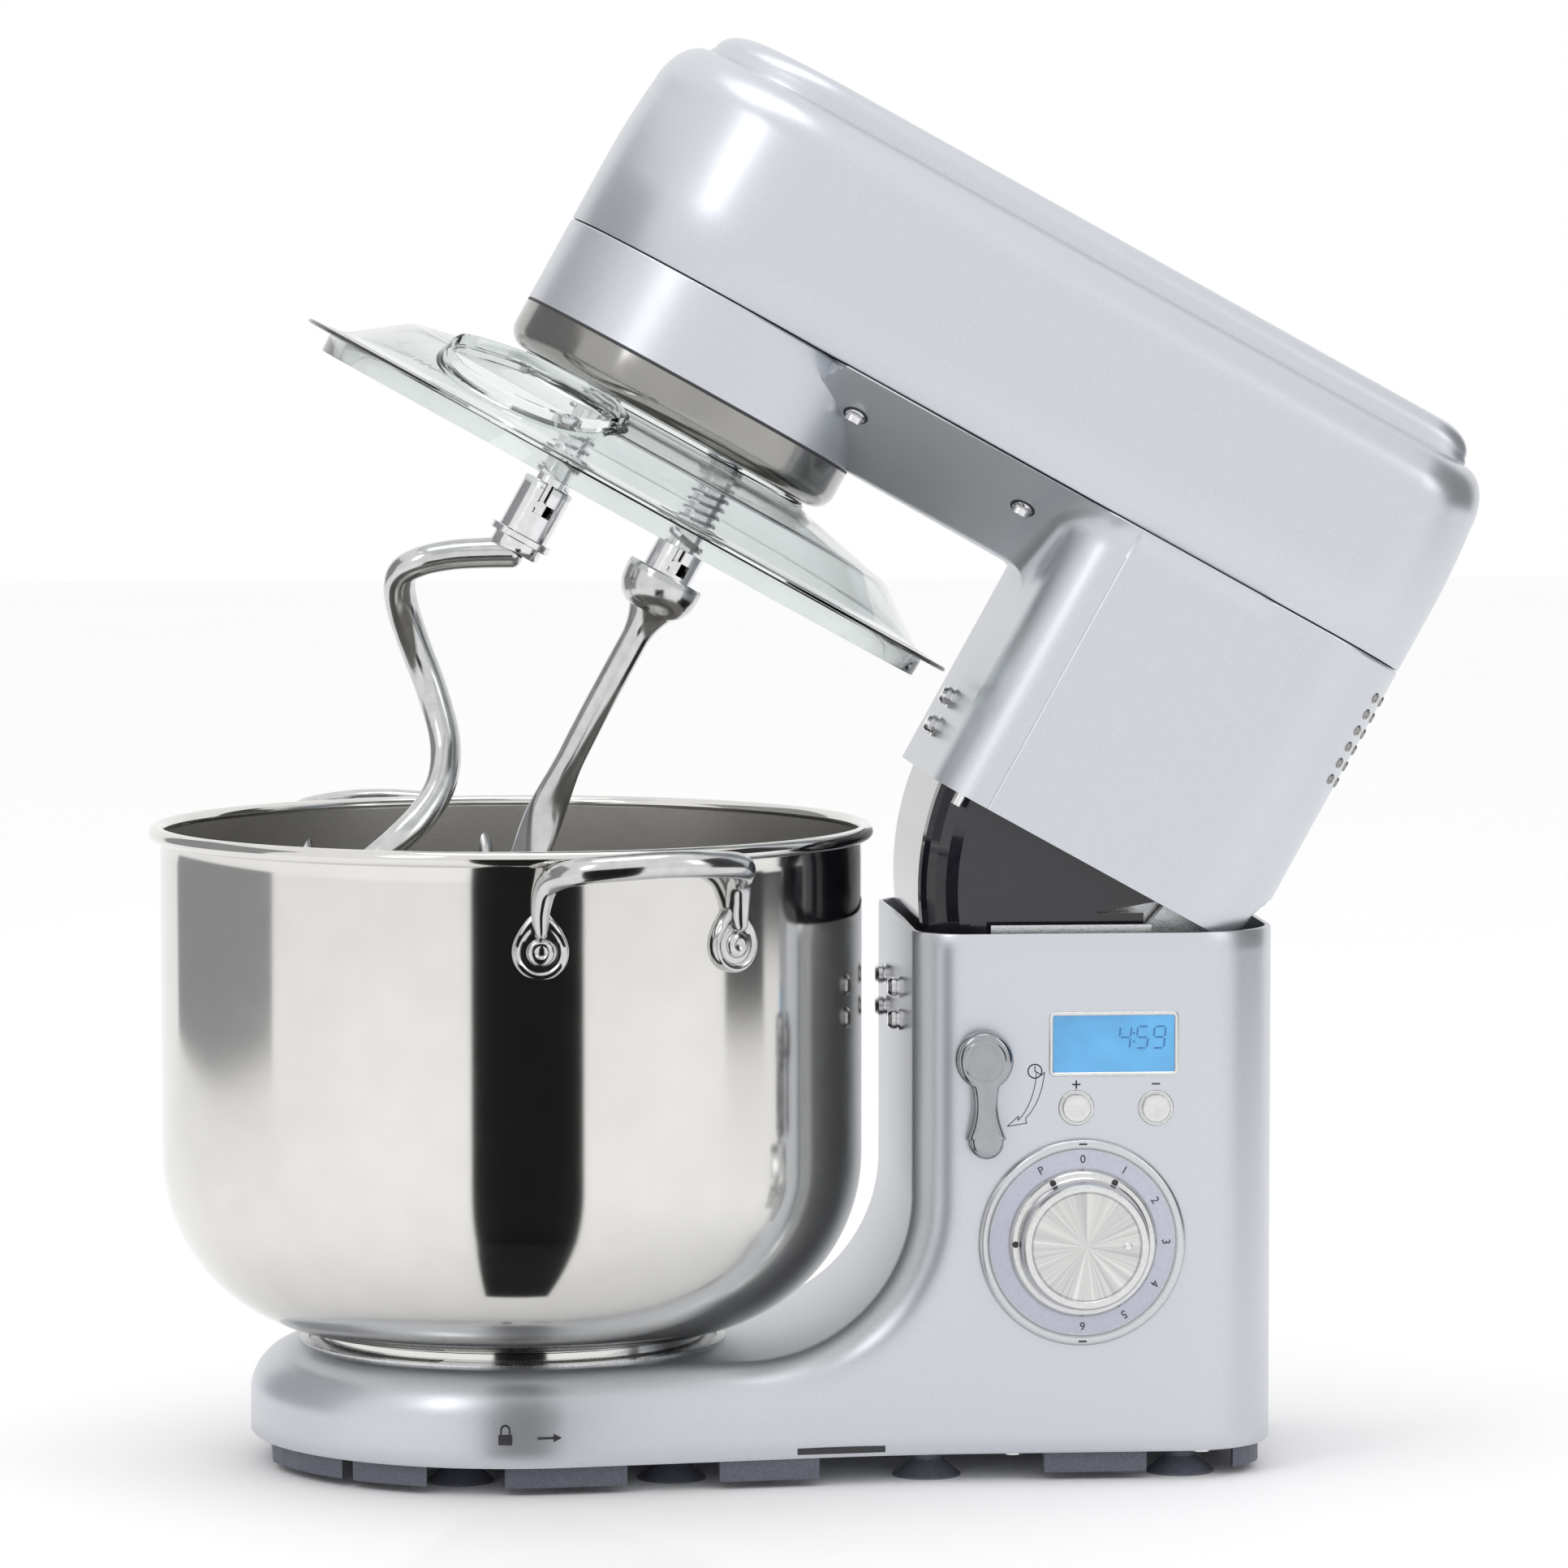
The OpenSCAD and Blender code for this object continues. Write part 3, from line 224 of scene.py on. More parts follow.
def footprint_inset(x, y):
    """How far a point lies inside the outline of the base."""
    y = np.abs(y)
    ahead = np.maximum(SIDE_B[0] - x, 0)
    side = COL_HALF + FLARE * np.where(ahead < BLEND, ahead ** 2 / (2 * BLEND), ahead - BLEND / 2) - y
    nose = np.where(x < SIDE_A[0], FOOT_R - np.hypot(x, y), 1000)
    corner_x, corner_y = COL_BACK - 36, COL_HALF - 36
    corner = np.where((x > corner_x) & (y > corner_y), 36 - np.hypot(x - corner_x, y - corner_y), 1000)
    return np.minimum(np.minimum(np.where(x < SIDE_A[0], 1000, side), nose), np.minimum(corner, COL_BACK - x))


def base_inside(x, y, z):
    inset = footprint_inset(x, y)
    sunk = np.clip(EDGE_R - inset, 0, EDGE_R)
    drop = EDGE_R - np.sqrt(np.maximum(EDGE_R ** 2 - sunk ** 2, 0))
    arc_x, arc_z = COL_FRONT - SWEEP_R, FOOT_TOP + SWEEP_R
    swept = np.hypot(x - arc_x, z - arc_z) - SWEEP_R
    depth = np.where(x < arc_x, FOOT_TOP - z, np.where(z > arc_z, x - COL_FRONT, swept))
    return (inset > 0) & (depth > drop)


def base_angles():
    centre = (200.0, 0.0)
    pts = arc(0, 0, FOOT_R, FOOT_R, 83, 277, 150)
    for k in range(60):
        t = (k + 1) / 60
        pts.append((12.3 + t * 155.7, -100.3 + t * 18.3))
    pts += arc(COL_BACK - 36, -(COL_HALF - 36), 36, 36, 270, 360, 30) + arc(COL_BACK - 36, COL_HALF - 36, 36, 36, 0, 90, 30)
    for k in range(60):
        t = k / 60
        pts.append((168 - t * 155.7, 82 + t * 18.3))
    a = np.array([math.atan2(y, x - centre[0]) for x, y in pts])
    a = np.sort(np.mod(a, 2 * math.pi))
    return centre, a[np.append(np.diff(a) > 1e-4, True)]


def build_base():
    centre, angles = base_angles()
    zs = [GROUND_GAP, GROUND_GAP + 1.2, 18, FOOT_TOP - EDGE_R]
    zs += [FOOT_TOP - EDGE_R * (1 - math.sin(math.radians(a))) for a in range(5, 90, 5)]
    zs += [FOOT_TOP - 0.05, FOOT_TOP + 0.01]
    zs += [FOOT_TOP + SWEEP_R * (1 - math.cos(math.radians(a))) for a in range(4, 91, 4)]
    zs += [120, 140, 160, 180, 200, COL_TOP - 0.8]
    rings = ray_solid(base_inside, centre, angles, zs, 340)

    def shrink(ring, d, z):
        return [(p[0] - d * math.cos(a), p[1] - d * math.sin(a), z) for p, a in zip(ring, angles)]

    first = shrink(rings[0], 1.0, GROUND_GAP)
    top = rings[-1]
    rings = [first] + rings[1:] + [shrink(top, 0.5, COL_TOP), shrink(top, 2.4, COL_TOP), shrink(top, 2.6, COL_TOP - 1),
                                   shrink(top, 3, COL_TOP - 45)]
    verts, faces = loft(rings, True, False)
    return finish_mesh("base_shell", verts, faces, PAINT, "base", replaces=("base_housing",), sharp=50)


build_base()
# ---- head ----
def head_ring(ix, iy):
    rear = HEAD_BACK - HEAD_CORNER
    pts = arc(0, 0, NOSE_R - ix, NOSE_R - iy, 92, 268, 90)
    n = 40
    p, q = pts[-1], (rear, -(HEAD_HALF - HEAD_CORNER) - (HEAD_CORNER - iy))
    pts += [(p[0] + (q[0] - p[0]) * k / n, p[1] + (q[1] - p[1]) * k / n) for k in range(1, n)]
    right = arc(rear, -(HEAD_HALF - HEAD_CORNER), HEAD_CORNER - ix, HEAD_CORNER - iy, -88, 0, 24)
    pts += right + [(x, -y) for x, y in right[::-1]]
    p, q = pts[-1], arc(0, 0, NOSE_R - ix, NOSE_R - iy, 92, 92, 1)[0]
    pts += [(p[0] + (q[0] - p[0]) * k / n, p[1] + (q[1] - p[1]) * k / n) for k in range(1, n)]
    return pts


def build_head():
    levels = [(SEAM_Z + 0.3, 1.6, 1.6), (SEAM_Z + 0.3, 0.5, 0.5), (SEAM_Z + 0.9, 0, 0), (SEAM_Z + 27, 0, 0)]
    for i in range(1, 6):
        t = i / 6
        levels.append((SEAM_Z + 27 + (HEAD_TOP - 20 - SEAM_Z - 27) * t, 2 * t * t, 1.4 * t * t))
    for i in range(13):
        a = math.pi / 2 * i / 12
        levels.append((HEAD_TOP - 20 * (1 - math.sin(a)), 2 + 13 * (1 - math.cos(a)), 1.4 + 24 * (1 - math.cos(a))))
    verts, faces = inset_loft(head_ring, levels)
    finish_mesh("head_upper_shell", verts, faces, PAINT, "head", AT_HEAD, ("head_top_shell",), 50)
    levels = [(HEAD_TOP - 1, 15.5, 24), (HEAD_TOP + 1.2, 15.5, 24)]
    for i in range(9):
        a = math.pi / 2 * i / 8
        levels.append((COVER_TOP - 9 * (1 - math.sin(a)), 16.5 + 14 * (1 - math.cos(a)), 24.5 + 9 * (1 - math.cos(a))))
    verts, faces = inset_loft(head_ring, levels)
    finish_mesh("head_cover", verts, faces, PAINT, "head", AT_HEAD, ("top_cover",), 40)


def smooth_min(a, b, k):
    h = np.clip(0.5 + 0.5 * (b - a) / k, 0, 1)
    return b * (1 - h) + a * h - k * h * (1 - h)


def neck_inside(x, y, z):
    y = np.abs(y)
    front, rear = 148.5, HEAD_BACK
    half_front, half_rear = 74.9, HEAD_HALF
    half = half_front + (half_rear - half_front) * np.clip((x - front) / (rear - HEAD_CORNER - front), 0, 1)

    def corner(cx, cy, r, sign):
        hit = (sign * (x - cx) > 0) & (y > cy)
        return np.where(hit, np.hypot(x - cx, y - cy) - r, -1000)

    block = np.maximum(np.maximum(front - x, y - half), x - rear)
    block = np.maximum(block, corner(front + 22, half_front - 22, 22, -1))
    block = np.maximum(block, corner(rear - HEAD_CORNER, half_rear - HEAD_CORNER, HEAD_CORNER, 1))
    if z < PIVOT[1]:
        block = np.maximum(block, x - PIVOT[0] - math.sqrt(max(18 ** 2 - (z - PIVOT[1]) ** 2, 0)))
    elif z < PIVOT[1] + 9:
        block = np.maximum(block, x - (PIVOT[0] + 18 + 6.5 * (z - PIVOT[1]) / 9))
    wide = 17 + 56 * np.clip((z - KEEL_Z) / (SEAM_Z - KEEL_Z), -0.3, 1)
    slope = math.hypot(56, SEAM_Z - KEEL_Z) / (SEAM_Z - KEEL_Z)
    wedge = np.maximum(np.maximum((y - wide) / slope, KEEL_Z - z), np.maximum(30 - x, x - 220))
    return np.maximum(smooth_min(block, wedge, 11), NOSE_R - 1.2 - np.hypot(x, y)) < 0


def build_neck():
    centre = (215.0, 0.0)
    angles = np.radians(np.concatenate([np.arange(0, 120, 1.0), np.arange(120, 158, 0.5), np.arange(158, 202, 0.25),
                                        np.arange(202, 240, 0.5), np.arange(240, 360, 1.0)]))
    zs = [HEAD_BOTTOM, HEAD_BOTTOM + 1] + list(np.arange(212, 288, 3)) + list(np.arange(288, SEAM_Z - 1, 0.8))
    zs += [SEAM_Z - 0.9]
    rings = ray_solid(neck_inside, centre, angles, zs, 186)
    top = [(p[0] - 0.5 * math.cos(a), p[1] - 0.5 * math.sin(a), SEAM_Z - 0.3) for p, a in zip(rings[-1], angles)]
    inner = [(p[0] - 3 * math.cos(a), p[1] - 3 * math.sin(a), SEAM_Z - 0.3) for p, a in zip(rings[-1], angles)]
    lip = [(p[0] - 2.6 * math.cos(a), p[1] - 2.6 * math.sin(a)) for p, a in zip(rings[0], angles)]
    lips = [[(*p, HEAD_BOTTOM + up) for p in lip] for up in (14, 0)]
    verts, faces = loft(lips + rings + [top, inner], False)
    finish_mesh("neck_shell", verts, faces, PAINT, "head", AT_HEAD, ("head_lower_shell",), 50)
    profile = [(NOSE_R - 2.4, RING_Z[1] + 0.2), (NOSE_R - 0.5, RING_Z[1] + 0.2), (NOSE_R, RING_Z[1] + 0.8),
               (NOSE_R, SEAM_Z - 0.9), (NOSE_R - 0.5, SEAM_Z - 0.3), (NOSE_R - 2.4, SEAM_Z - 0.3)]
    verts, faces = lathe(profile, 192)
    finish_mesh("nose_shell", verts, faces, PAINT, "head", AT_HEAD, (), 30)


build_head()
build_neck()

# ---- bowl ----
def bowl_side(inset):
    r = BOWL_R - inset
    c = BOWL_CORNER - inset
    pts = [(0, BOWL_Z + inset), (30, BOWL_Z + inset), (58, BOWL_Z + inset)]
    pts += arc(r - c, BOWL_Z + BOWL_CORNER, c, c, -90, 0, 40)
    return pts + [(r, z) for z in (140, 165, 190, 215, 233)]


def build_bowl():
    verts, faces = lathe(bowl_side(0) + [(BOWL_R, RIM_Z - 2), (BOWL_R + 0.4, RIM_Z - 1)], 256, closed=False, caps=False)
    finish_mesh("bowl_outside", verts, faces, STEEL, "bowl", replaces=("mixing_bowl",), sharp=30)
    verts, faces = lathe(bowl_side(WALL) + [(BOWL_R - WALL, RIM_Z)], 256, closed=False, caps=False)
    finish_mesh("bowl_inside", verts, faces, INSIDE, "bowl", sharp=30)
    bead = [(BOWL_R + 1.5 + x, RIM_Z + z) for x, z in arc(0, 0, RIM_BEAD, RIM_BEAD, 0, 345, 23)]
    verts, faces = lathe(bead, 256)
    finish_mesh("bowl_rim", verts, faces, STEEL, "bowl", sharp=60)


def tube(path, radii, sides=20, flat=None):
    """A closed tube along a path; radii are (half width, half height, twist) at each point."""
    rings = []
    n = len(path)
    side = None
    for i, p in enumerate(path):
        d = (Vector(path[min(i + 1, n - 1)]) - Vector(path[max(i - 1, 0)])).normalized()
        ref = flat or (Vector((1, 0, 0)) if side is None and abs(d.y) > 0.9 else Vector((0, 1, 0)) if side is None else side)
        u = (ref - d * ref.dot(d)).normalized()
        side = u
        v = d.cross(u)
        a, b, twist = radii[i]
        cos_t, sin_t = math.cos(math.radians(twist)), math.sin(math.radians(twist))
        ring = []
        for k in range(sides):
            t = 2 * math.pi * k / sides
            x, y = a * math.cos(t), b * math.sin(t)
            q = Vector(p) + u * (x * cos_t - y * sin_t) + v * (x * sin_t + y * cos_t)
            ring.append(tuple(q))
        rings.append(ring)
    return rings


def capped(rings):
    """Closes a tube with short rounded ends."""
    def cap(ring, beyond):
        c = sum((Vector(p) for p in ring), Vector()) / len(ring)
        d = (c - sum((Vector(p) for p in beyond), Vector()) / len(beyond)).normalized()
        size = (Vector(ring[0]) - c).length
        return [[tuple(c + (Vector(p) - c) * k + d * size * h) for p in ring]
                for k, h in ((0.92, 0.22), (0.7, 0.4), (0.35, 0.5), (0.1, 0.52))]
    return loft(cap(rings[0], rings[1])[::-1] + rings + cap(rings[-1], rings[-2]))


def smooth_path(points, n):
    """A Catmull-Rom curve through the points."""
    pts = [Vector(p) for p in points]
    out = []
    for i in range(n + 1):
        t = i / n * (len(pts) - 1)
        k = min(int(t), len(pts) - 2)
        f = t - k
        p0, p1, p2, p3 = pts[max(k - 1, 0)], pts[k], pts[k + 1], pts[min(k + 2, len(pts) - 1)]
        out.append(tuple(0.5 * ((2 * p1) + (p2 - p0) * f + (2 * p0 - 5 * p1 + 4 * p2 - p3) * f ** 2
                                + (3 * p1 - p0 - 3 * p2 + p3) * f ** 3)))
    return out


HANDLE_TURN, PAD_TURN, PAD_Z = 18.0, 16.5, RIM_Z - 34


def turned(points, degrees):
    c, s = math.cos(math.radians(degrees)), math.sin(math.radians(degrees))
    return [(x * c - y * s, x * s + y * c, z) for x, y, z in points]


def pad_mesh():
    """A teardrop pad with a raised rim and a dimpled rivet, on the bowl's wall."""
    verts, faces = [], []
    n = 40
    profile = [(1.0, 0.1), (1.0, 2.2), (0.93, 3.2), (0.84, 3.4), (0.76, 3.0), (0.70, 2.5), (0.52, 2.5), (0.49, 2.6),
               (0.46, 3.6), (0.38, 4.3), (0.24, 4.4), (0.17, 3.8), (0.0, 3.6)]
    rings = []
    for k, h in profile:
        ring = []
        for i in range(n):
            a = 2 * math.pi * i / n
            stretch = 1 + 0.45 * max(math.sin(a), 0) ** 3 * max(0, (k - 0.5) / 0.5)
            y, z = 10.5 * k * math.cos(a), 10.5 * k * math.sin(a) * stretch
            x = math.sqrt(BOWL_R ** 2 - y ** 2) + h
            ring.append((x, y, PAD_Z + z))
        rings.append(ring)
    return loft(rings, True, False)


def build_handles():
    for half, base_turn in (("near", 0), ("far", 180)):
        turn = HANDLE_TURN - 90 + base_turn
        wall = BOWL_R + 1.5
        c, s = math.cos(math.radians(PAD_TURN)), math.sin(math.radians(PAD_TURN))
        foot_x, foot_y = wall * c, wall * s
        path = [(foot_x, -foot_y, PAD_Z + 8), (foot_x + 1.5, -foot_y - 0.3, PAD_Z + 17), (foot_x + 7, -foot_y + 1, PAD_Z + 26),
                (foot_x + 22, -foot_y + 7, PAD_Z + 31), (foot_x + 31, -14, PAD_Z + 33), (foot_x + 32.5, 0, PAD_Z + 33.5),
                (foot_x + 31, 14, PAD_Z + 33), (foot_x + 22, foot_y - 7, PAD_Z + 31), (foot_x + 7, foot_y - 1, PAD_Z + 26),
                (foot_x + 1.5, foot_y + 0.3, PAD_Z + 17), (foot_x, foot_y, PAD_Z + 8)]
        n = 60
        curve = smooth_path(path, n)
        radii = []
        for i in range(n + 1):
            e = min(i, n - i) / n
            spread = max(0.0, 1 - e / 0.22)
            radii.append((5.2 + 1.2 * spread, 4.6 - 1.6 * spread, 0))
        verts, faces = capped(tube(turned(curve, turn), radii, 20))
        finish_mesh("handle_bar_" + half, verts, faces, CAST, "bowl",
                    replaces=("bowl_handles",) if half == "near" else ())
        for side, pad_turn in (("left", -PAD_TURN), ("right", PAD_TURN)):
            verts, faces = pad_mesh()
            finish_mesh("handle_pad_%s_%s" % (half, side), turned(verts, turn + pad_turn), faces, CAST, "bowl",
                        replaces=("handle_rivets",) if side + half == "leftnear" else ())


INSIDE = material("bowl_inside_steel", (0.62, 0.61, 0.59), 1.0, 0.30, 0.04, 300, 0.03, (1, 1, 6))
build_bowl()
build_handles()
# ---- tools ----
def hook_a_point(h):
    a = math.radians(180 - 180 * min(max((h - 24) / 76, 0), 1.35))
    r = 33.6 * math.sin(math.radians(min(3 * h, 90))) - 15 * min(max((h - 31) / 69, 0), 1)
    return (r * math.cos(a) - ORBIT, r * math.sin(a) * 0.8, 206 - h)


def build_hook_a():
    n = 90
    curve = smooth_path([hook_a_point(h) for h in (0, 5, 12, 20, 28, 38, 50, 62, 76, 90, 104, 118, 132, 146)], n)
    radii = [(7.4 * (1 - 0.28 * i / n), 6.0 * (1 - 0.25 * i / n), 25 * i / n) for i in range(n + 1)]
    verts, faces = capped(tube(curve, radii, 20))
    finish_mesh("hook_a_rod", verts, faces, CAST, "tool_a", AT_HEAD, ("dough_hook_a",))
    build_sleeve("hook_a", -ORBIT, 206.5, 235.6, "tool_a", False)


def build_hook_b():
    n = 80
    curve, radii = [], []
    for i in range(n + 1):
        t = i / n
        f = min(max((t - 0.42) / 0.28, 0), 1)
        f = f * f * (3 - 2 * f)
        curve.append((ORBIT + 1 + 22 * t ** 4, 12 * max(t - 0.45, 0) ** 1.5, 214 - 154 * t))
        neck = 1 + 0.9 * max(0, 1 - t / 0.1) ** 2
        radii.append((5.4 * neck - 2.9 * f, 5.4 * neck + 4.1 * f * (1 - 0.25 * max(t - 0.8, 0) / 0.2), 45 * f))
    verts, faces = capped(tube(curve, radii, 20))
    finish_mesh("hook_b_blade", verts, faces, CAST, "tool_b", AT_HEAD, ("dough_hook_b",))
    cup = [(6.0, 210.5), (9.5, 211.4), (12.6, 214), (14.8, 218), (15.5, 222.5), (15.5, 226), (15.0, 227), (13.6, 227),
           (13.0, 225.5), (12.4, 221), (10.0, 217), (6.0, 215)]
    verts, faces = lathe(cup, 64, (ORBIT, 0))
    finish_mesh("hook_b_cup", verts, faces, CAST, "tool_b", AT_HEAD, sharp=60)
    build_sleeve("hook_b", ORBIT, 224, 240.4, "tool_b", True)


def build_sleeve(name, x, z0, z1, body, cupped):
    """A turned sleeve with a raised collar and a slot each side for the spindle's cross pin."""
    n = 72
    verts, faces = [], []
    levels = [z0, z0 + 0.8] + [z0 + 0.8 + (z1 - z0 - 1.6) * k / 12 for k in range(1, 13)] + [z1]
    slot_low = z1 - 12
    for r in (10.0, 8.4):
        for k, z in enumerate(levels):
            grow = -0.5 if k in (0, len(levels) - 1) else 0
            verts += [(x + (r + grow) * math.cos(2 * math.pi * i / n), (r + grow) * math.sin(2 * math.pi * i / n), z)
                      for i in range(n)]
    rows = len(levels)

    def cut(i, k):
        z = (levels[k] + levels[k + 1]) / 2
        a = (360.0 * (i + 0.5) / n) % 180
        upright = 78 < a < 102 and z > slot_low
        foot = 78 < a < 126 and slot_low < z < slot_low + 4.5
        return upright or foot

    for layer in (0, 1):
        for k in range(rows - 1):
            for i in range(n):
                j = (i + 1) % n
                if cut(i, k):
                    continue
                base = layer * rows * n
                faces.append((base + k * n + i, base + k * n + j, base + (k + 1) * n + j, base + (k + 1) * n + i))
    for k in (0, rows - 1):
        for i in range(n):
            j = (i + 1) % n
            if not cut(i, min(k, rows - 2)):
                faces.append((k * n + i, k * n + j, (rows + k) * n + j, (rows + k) * n + i))
    for k in range(rows - 1):
        for i in range(n):
            if cut(i, k):
                continue
            for other, edge in ((cut((i - 1) % n, k), (i, k, i, k + 1)), (cut((i + 1) % n, k), ((i + 1) % n, k, (i + 1) % n, k + 1)),
                                (k > 0 and cut(i, k - 1), (i, k, (i + 1) % n, k)),
                                (k < rows - 2 and cut(i, k + 1), (i, k + 1, (i + 1) % n, k + 1))):
                if other:
                    a = edge[1] * n + edge[0]
                    b = edge[3] * n + edge[2]
                    faces.append((a, b, rows * n + b, rows * n + a))
    finish_mesh(name + "_sleeve", verts, faces, BRIGHT, body, AT_HEAD, sharp=40)
    if not cupped:
        collar = [(9.8, 211), (12.0, 211), (12.4, 211.4), (12.4, 213.6), (12.0, 214), (9.8, 214)]
        v, f = lathe(collar, 64, (x, 0))
        finish_mesh(name + "_collar", v, f, BRIGHT, body, AT_HEAD, sharp=40)


build_hook_a()
build_hook_b()

# ---- controls on the column's face ----
FACE = AT_BASE @ Matrix.Rotation(math.pi / 2, 4, "X")


def on_face(x, z, out=0.0):
    """A frame whose X and Y run along the face's X and Z and whose Z points out of the face, at (x, z)."""
    return AT_BASE @ Matrix.Translation((x, FACE_Y - out, z)) @ Matrix.Rotation(math.pi / 2, 4, "X")


def face_lathe(name, centre, profile, mat, body, replaces=(), sharp=35, n=128, out=0.0):
    verts, faces = lathe(profile, n, closed=False)
    return finish_mesh(name, verts, faces, mat, body, on_face(*centre, out), replaces, sharp)


def outline_plate(outline, z0, z1, edge=0.4, steps=4):
    """A flat plate with rounded top edges; outline(inset) gives its ring."""
    rings = [[(x, y, z0) for x, y in outline(0)]]
    for i in range(steps + 1):
        a = math.pi / 2 * i / steps
        rings.append([(x, y, z1 - edge * (1 - math.sin(a))) for x, y in outline(edge * (1 - math.cos(a)))])
    return loft(rings)


def rounded_box(w, h, r):
    def outline(i):
        a, b, c = w / 2 - i, h / 2 - i, max(r - i, 0.05)
        return (arc(a - c, b - c, c, c, 0, 90, 6) + arc(-a + c, b - c, c, c, 90, 180, 6)
                + arc(-a + c, -b + c, c, c, 180, 270, 6) + arc(a - c, -b + c, c, c, 270, 360, 6))
    return outline


def glyph(name, text, size, place, turn, mat, body, thick=0.12):
    """A raised character, centred, standing on a plane."""
    font = bpy.data.curves.new(name, "FONT")
    font.body, font.size, font.align_x, font.align_y = text, size, "CENTER", "CENTER"
    font.extrude = thick
    maker = bpy.data.objects.new(name + "_maker", font)
    bpy.context.scene.collection.objects.link(maker)
    bpy.context.view_layer.update()
    mesh = bpy.data.meshes.new_from_object(maker.evaluated_get(bpy.context.evaluated_depsgraph_get()))
    bpy.data.objects.remove(maker)
    mesh.transform(place @ Matrix.Rotation(turn, 4, "Z"))
    obj = bpy.data.objects.new(name, mesh)
    return add_piece(obj, mat, body)


def build_dial():
    r = 39.2
    face_lathe("dial_bezel_ring", DIAL, [(r - 4, 0.2), (r, 0.2), (r, 1.4), (r - 0.4, 2.2), (r - 1.4, 2.9), (r - 2.6, 3.0),
                                         (r - 3.4, 2.7), (r - 4, 1.9)], BEZEL, "base", ("dial_bezel",))
    face_lathe("dial_number_ring", DIAL, [(0.0, 0.7), (34.9, 0.7), (34.9, 2.0), (34.6, 2.2), (0.0, 2.2)], DIAL_RING,
               "dial", ("dial_ring",))
    knob = [(28.0, 2.3), (28.2, 2.8), (27.6, 4.6), (26.8, 5.4), (25.2, 5.8), (24.6, 6.4), (24.3, 12.6), (23.9, 14.6),
            (23.2, 15.5), (22.4, 15.7), (21.0, 15.5), (20.4, 14.7)]
    face_lathe("dial_knob", DIAL, knob, KNOB, "dial", ("speed_knob",), 30)
    face_lathe("dial_knob_face", DIAL, [(20.45, 14.7), (20.1, 15.0), (16, 15.05), (0, 15.1)], SPUN, "dial",
               sharp=30)
    face_lathe("dial_dimple", (DIAL[0] + 15.5, DIAL[1]), [(1.6, 15.1), (1.3, 15.5), (0.7, 15.75), (0, 15.8)], BRIGHT,
               "dial", n=32)
    for k, label in enumerate("P0123456"):
        a = math.radians(30 * (k - 1))
        centre = (DIAL[0] + 31.6 * math.sin(a), DIAL[1] + 31.6 * math.cos(a))
        glyph("dial_mark_" + label, label, 4.4, on_face(*centre, 2.2), -a, INK, "dial")
    for k, a in enumerate((0, 180)):
        t = math.radians(a)
        verts, faces = outline_plate(rounded_box(3.2, 0.7, 0.3), 0, 0.15, 0.05)
        finish_mesh("dial_index_%d" % k, verts, faces, INK, "base",
                    on_face(DIAL[0] + 37.4 * math.sin(t), DIAL[1] + 37.4 * math.cos(t), 2.95))
    for k, a in enumerate((-27, 27, -90)):
        t = math.radians(a)
        face_lathe("dial_notch_%d" % k, (DIAL[0] + 25.9 * math.sin(t), DIAL[1] + 25.9 * math.cos(t)),
                   [(1.2, 5.0), (1.2, 6.0), (0.9, 6.2), (0, 6.2)], INK, "dial", n=24)


def build_display():
    w, h = 47.2, 22.6
    rings = []
    for i, z in ((-0.9, 0.1), (-0.9, 0.35), (-0.6, 0.6), (0.3, 0.6), (0.6, 0.3), (0.6, 0.0)):
        rings.append([(x, y, z) for x, y in rounded_box(w, h, 1.2)(i)])
    verts, faces = loft(rings, False, False)
    finish_mesh("display_frame", verts, faces, KNOB, "base", on_face(*LCD))
    verts, faces = outline_plate(rounded_box(w - 1, h - 1, 0.8), -1.5, 0.15, 0.2)
    finish_mesh("display_window", verts, faces, LCD_BLUE, "base", on_face(*LCD), ("lcd_window",))
    segments = {"4": "bcfg", "5": "acdfg", "9": "abcdfg"}
    tall, wide, bar = 8.2, 4.2, 0.7
    places = {"a": (0, tall / 2, 1), "g": (0, 0, 1), "d": (0, -tall / 2, 1), "b": (wide / 2, tall / 4, 0),
              "c": (wide / 2, -tall / 4, 0), "f": (-wide / 2, tall / 4, 0), "e": (-wide / 2, -tall / 4, 0)}
    for k, (digit, x) in enumerate((("4", 4.2), ("5", 10.8), ("9", 17.2))):
        verts, faces = [], []
        for seg in segments[digit]:
            dx, dy, flat = places[seg]
            size = (wide - 1.0, bar) if flat else (bar, tall / 2 - 0.7)
            v, f = outline_plate(rounded_box(size[0], size[1], 0.3), 0, 0.06, 0.02, 2)
            faces += [tuple(i + len(verts) for i in face) for face in f]
            verts += [(a + dx + b * 0.1 + dy * 0.1, b + dy, c) for a, b, c in v]
        finish_mesh("display_digit_%d" % k, verts, faces, LCD_INK, "base",
                    on_face(LCD[0] + x, LCD[1] + 2.4, 0.16))
    for k, dy in enumerate((-1.6, 1.6)):
        face_lathe("display_dot_%d" % k, (LCD[0] + 7.6, LCD[1] + 2.4 + dy), [(0.45, 0.16), (0.4, 0.22), (0, 0.22)], LCD_INK,
                   "base", n=20)


